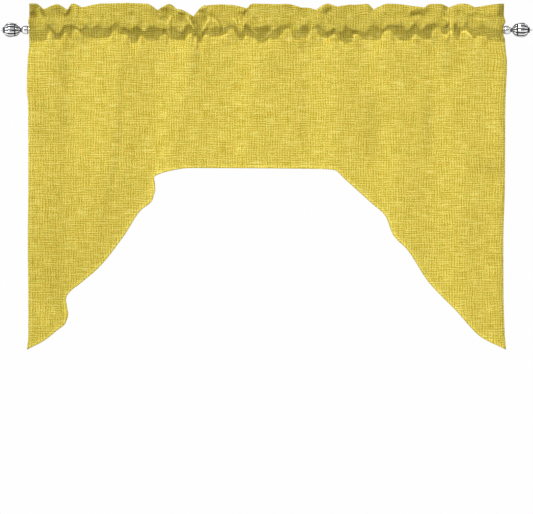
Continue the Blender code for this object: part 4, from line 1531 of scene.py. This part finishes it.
# %% Two of each
BEAD_RADIUS = 2.7
BEAD_MIDDLE = 71.0
SPIGOT = ((3.6, 15.7), (3.6, 11.8))
SOCKET = ((3.9, 11.5), (3.9, 15.4))
SLEEVE_INSIDE = ((9.8, 0.0), (9.8, 9.5))
bead = [(BEAD_RADIUS * math.cos(math.radians(d)), BEAD_MIDDLE + BEAD_RADIUS * math.sin(math.radians(d)))
        for d in range(84, -31, -12)]
finial_profile = np.vstack((rounded(FINIAL_SKIN, 4), SPIGOT))
cap_profile = np.vstack((bead, rounded(CAP_SKIN, 3)))
collar_profile = np.vstack((SOCKET, rounded(COLLAR_SKIN, 3), SLEEVE_INSIDE))
chrome_pieces = {}
for word, side in (("left", -1), ("right", 1)):
    for node, name, profile, sides, fluted in (
            ("finial_", "chrome_finial_", finial_profile, FLUTES * SIDES_PER_FLUTE, True),
            ("end_cap_", "chrome_cap_", cap_profile, PLAIN_SIDES, False),
            ("collar_", "chrome_collar_", collar_profile, PLAIN_SIDES, False)):
        chrome_pieces[node + word] = lathe(name + word, side, profile, sides, fluted)
print(len(chrome_pieces), "chrome pieces")

# %% [markdown]
# ## Chrome and steel
# Polished chrome is nearly a mirror, so most of its look comes from the softboxes. Painted shade
# makes its plating almost black in the grooves and joints, which draws the flutes. Its edge tint is
# black, a painted dark reflection that turns its rims dark. The rod is brushed steel: noise
# stretched along its length gives fine lines in colour, roughness and bump.

# %% Chrome and steel
PLATING = (0.86, 0.87, 0.88, 1)
PAINTED_GROOVE_SHADE = (0.04, 0.04, 0.045, 1)
PAINTED_DARK_RIM = (0.0, 0.0, 0.0, 1)
STEEL_DARK = (0.56, 0.57, 0.58, 1)
STEEL_LIGHT = (0.74, 0.75, 0.76, 1)
BRUSH_LINES = (6.0, 900.0, 900.0)

chrome = Finish("polished chrome")
groove = chrome.marked("groove")
smear = chrome.noise(on_object(chrome), 160.0, 2.0, "3D")
# painted shade: the plating goes almost black in the grooves and joints
plating_with_painted_shade = chrome.tint(groove.over(0.08, 0.3), PLATING, PAINTED_GROOVE_SHADE)
smear_bump = chrome.add("ShaderNodeBump", {}, {"Strength": 0.04, "Distance": 0.0002, "Height": smear})
# the black edge tint is a painted dark reflection that darkens the rims
chrome.give(Base_Color=plating_with_painted_shade, Metallic=1.0, Roughness=0.10 + smear * 0.10 + groove * 0.25,
            Specular_Tint=PAINTED_DARK_RIM, Normal=smear_bump)

steel = Finish("brushed steel")
lengthwise = steel.add("ShaderNodeMapping", {}, {"Vector": on_object(steel), "Scale": BRUSH_LINES})
brushing = steel.noise(lengthwise, 1.0, 3.0, "3D")
brush_bump = steel.add("ShaderNodeBump", {}, {"Strength": 0.1, "Distance": 0.0002, "Height": brushing})
steel.give(Base_Color=steel.tint(brushing, STEEL_DARK, STEEL_LIGHT), Metallic=1.0,
           Roughness=0.22 + brushing * 0.18, Normal=brush_bump)

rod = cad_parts["rod"]
rod.data.materials.clear()
rod.data.materials.append(steel.material)
metal.objects.link(rod)
for thing in chrome_pieces.values():
    thing.data.materials.append(chrome.material)
    metal.objects.link(thing)
print("metal finishes on", 1 + len(chrome_pieces), "pieces")

# %% [markdown]
# ## Tie the pieces to the frame
# Each new piece rides on the body of the CAD node that it stands for, and the node isn't shown.

# %% Ride and replace
for node, thing in chrome_pieces.items():
    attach(thing, "root")
    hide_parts(node)
for thing in (valance, heading_stitches, hem_stitches):
    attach(thing, "root")
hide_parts("valance")
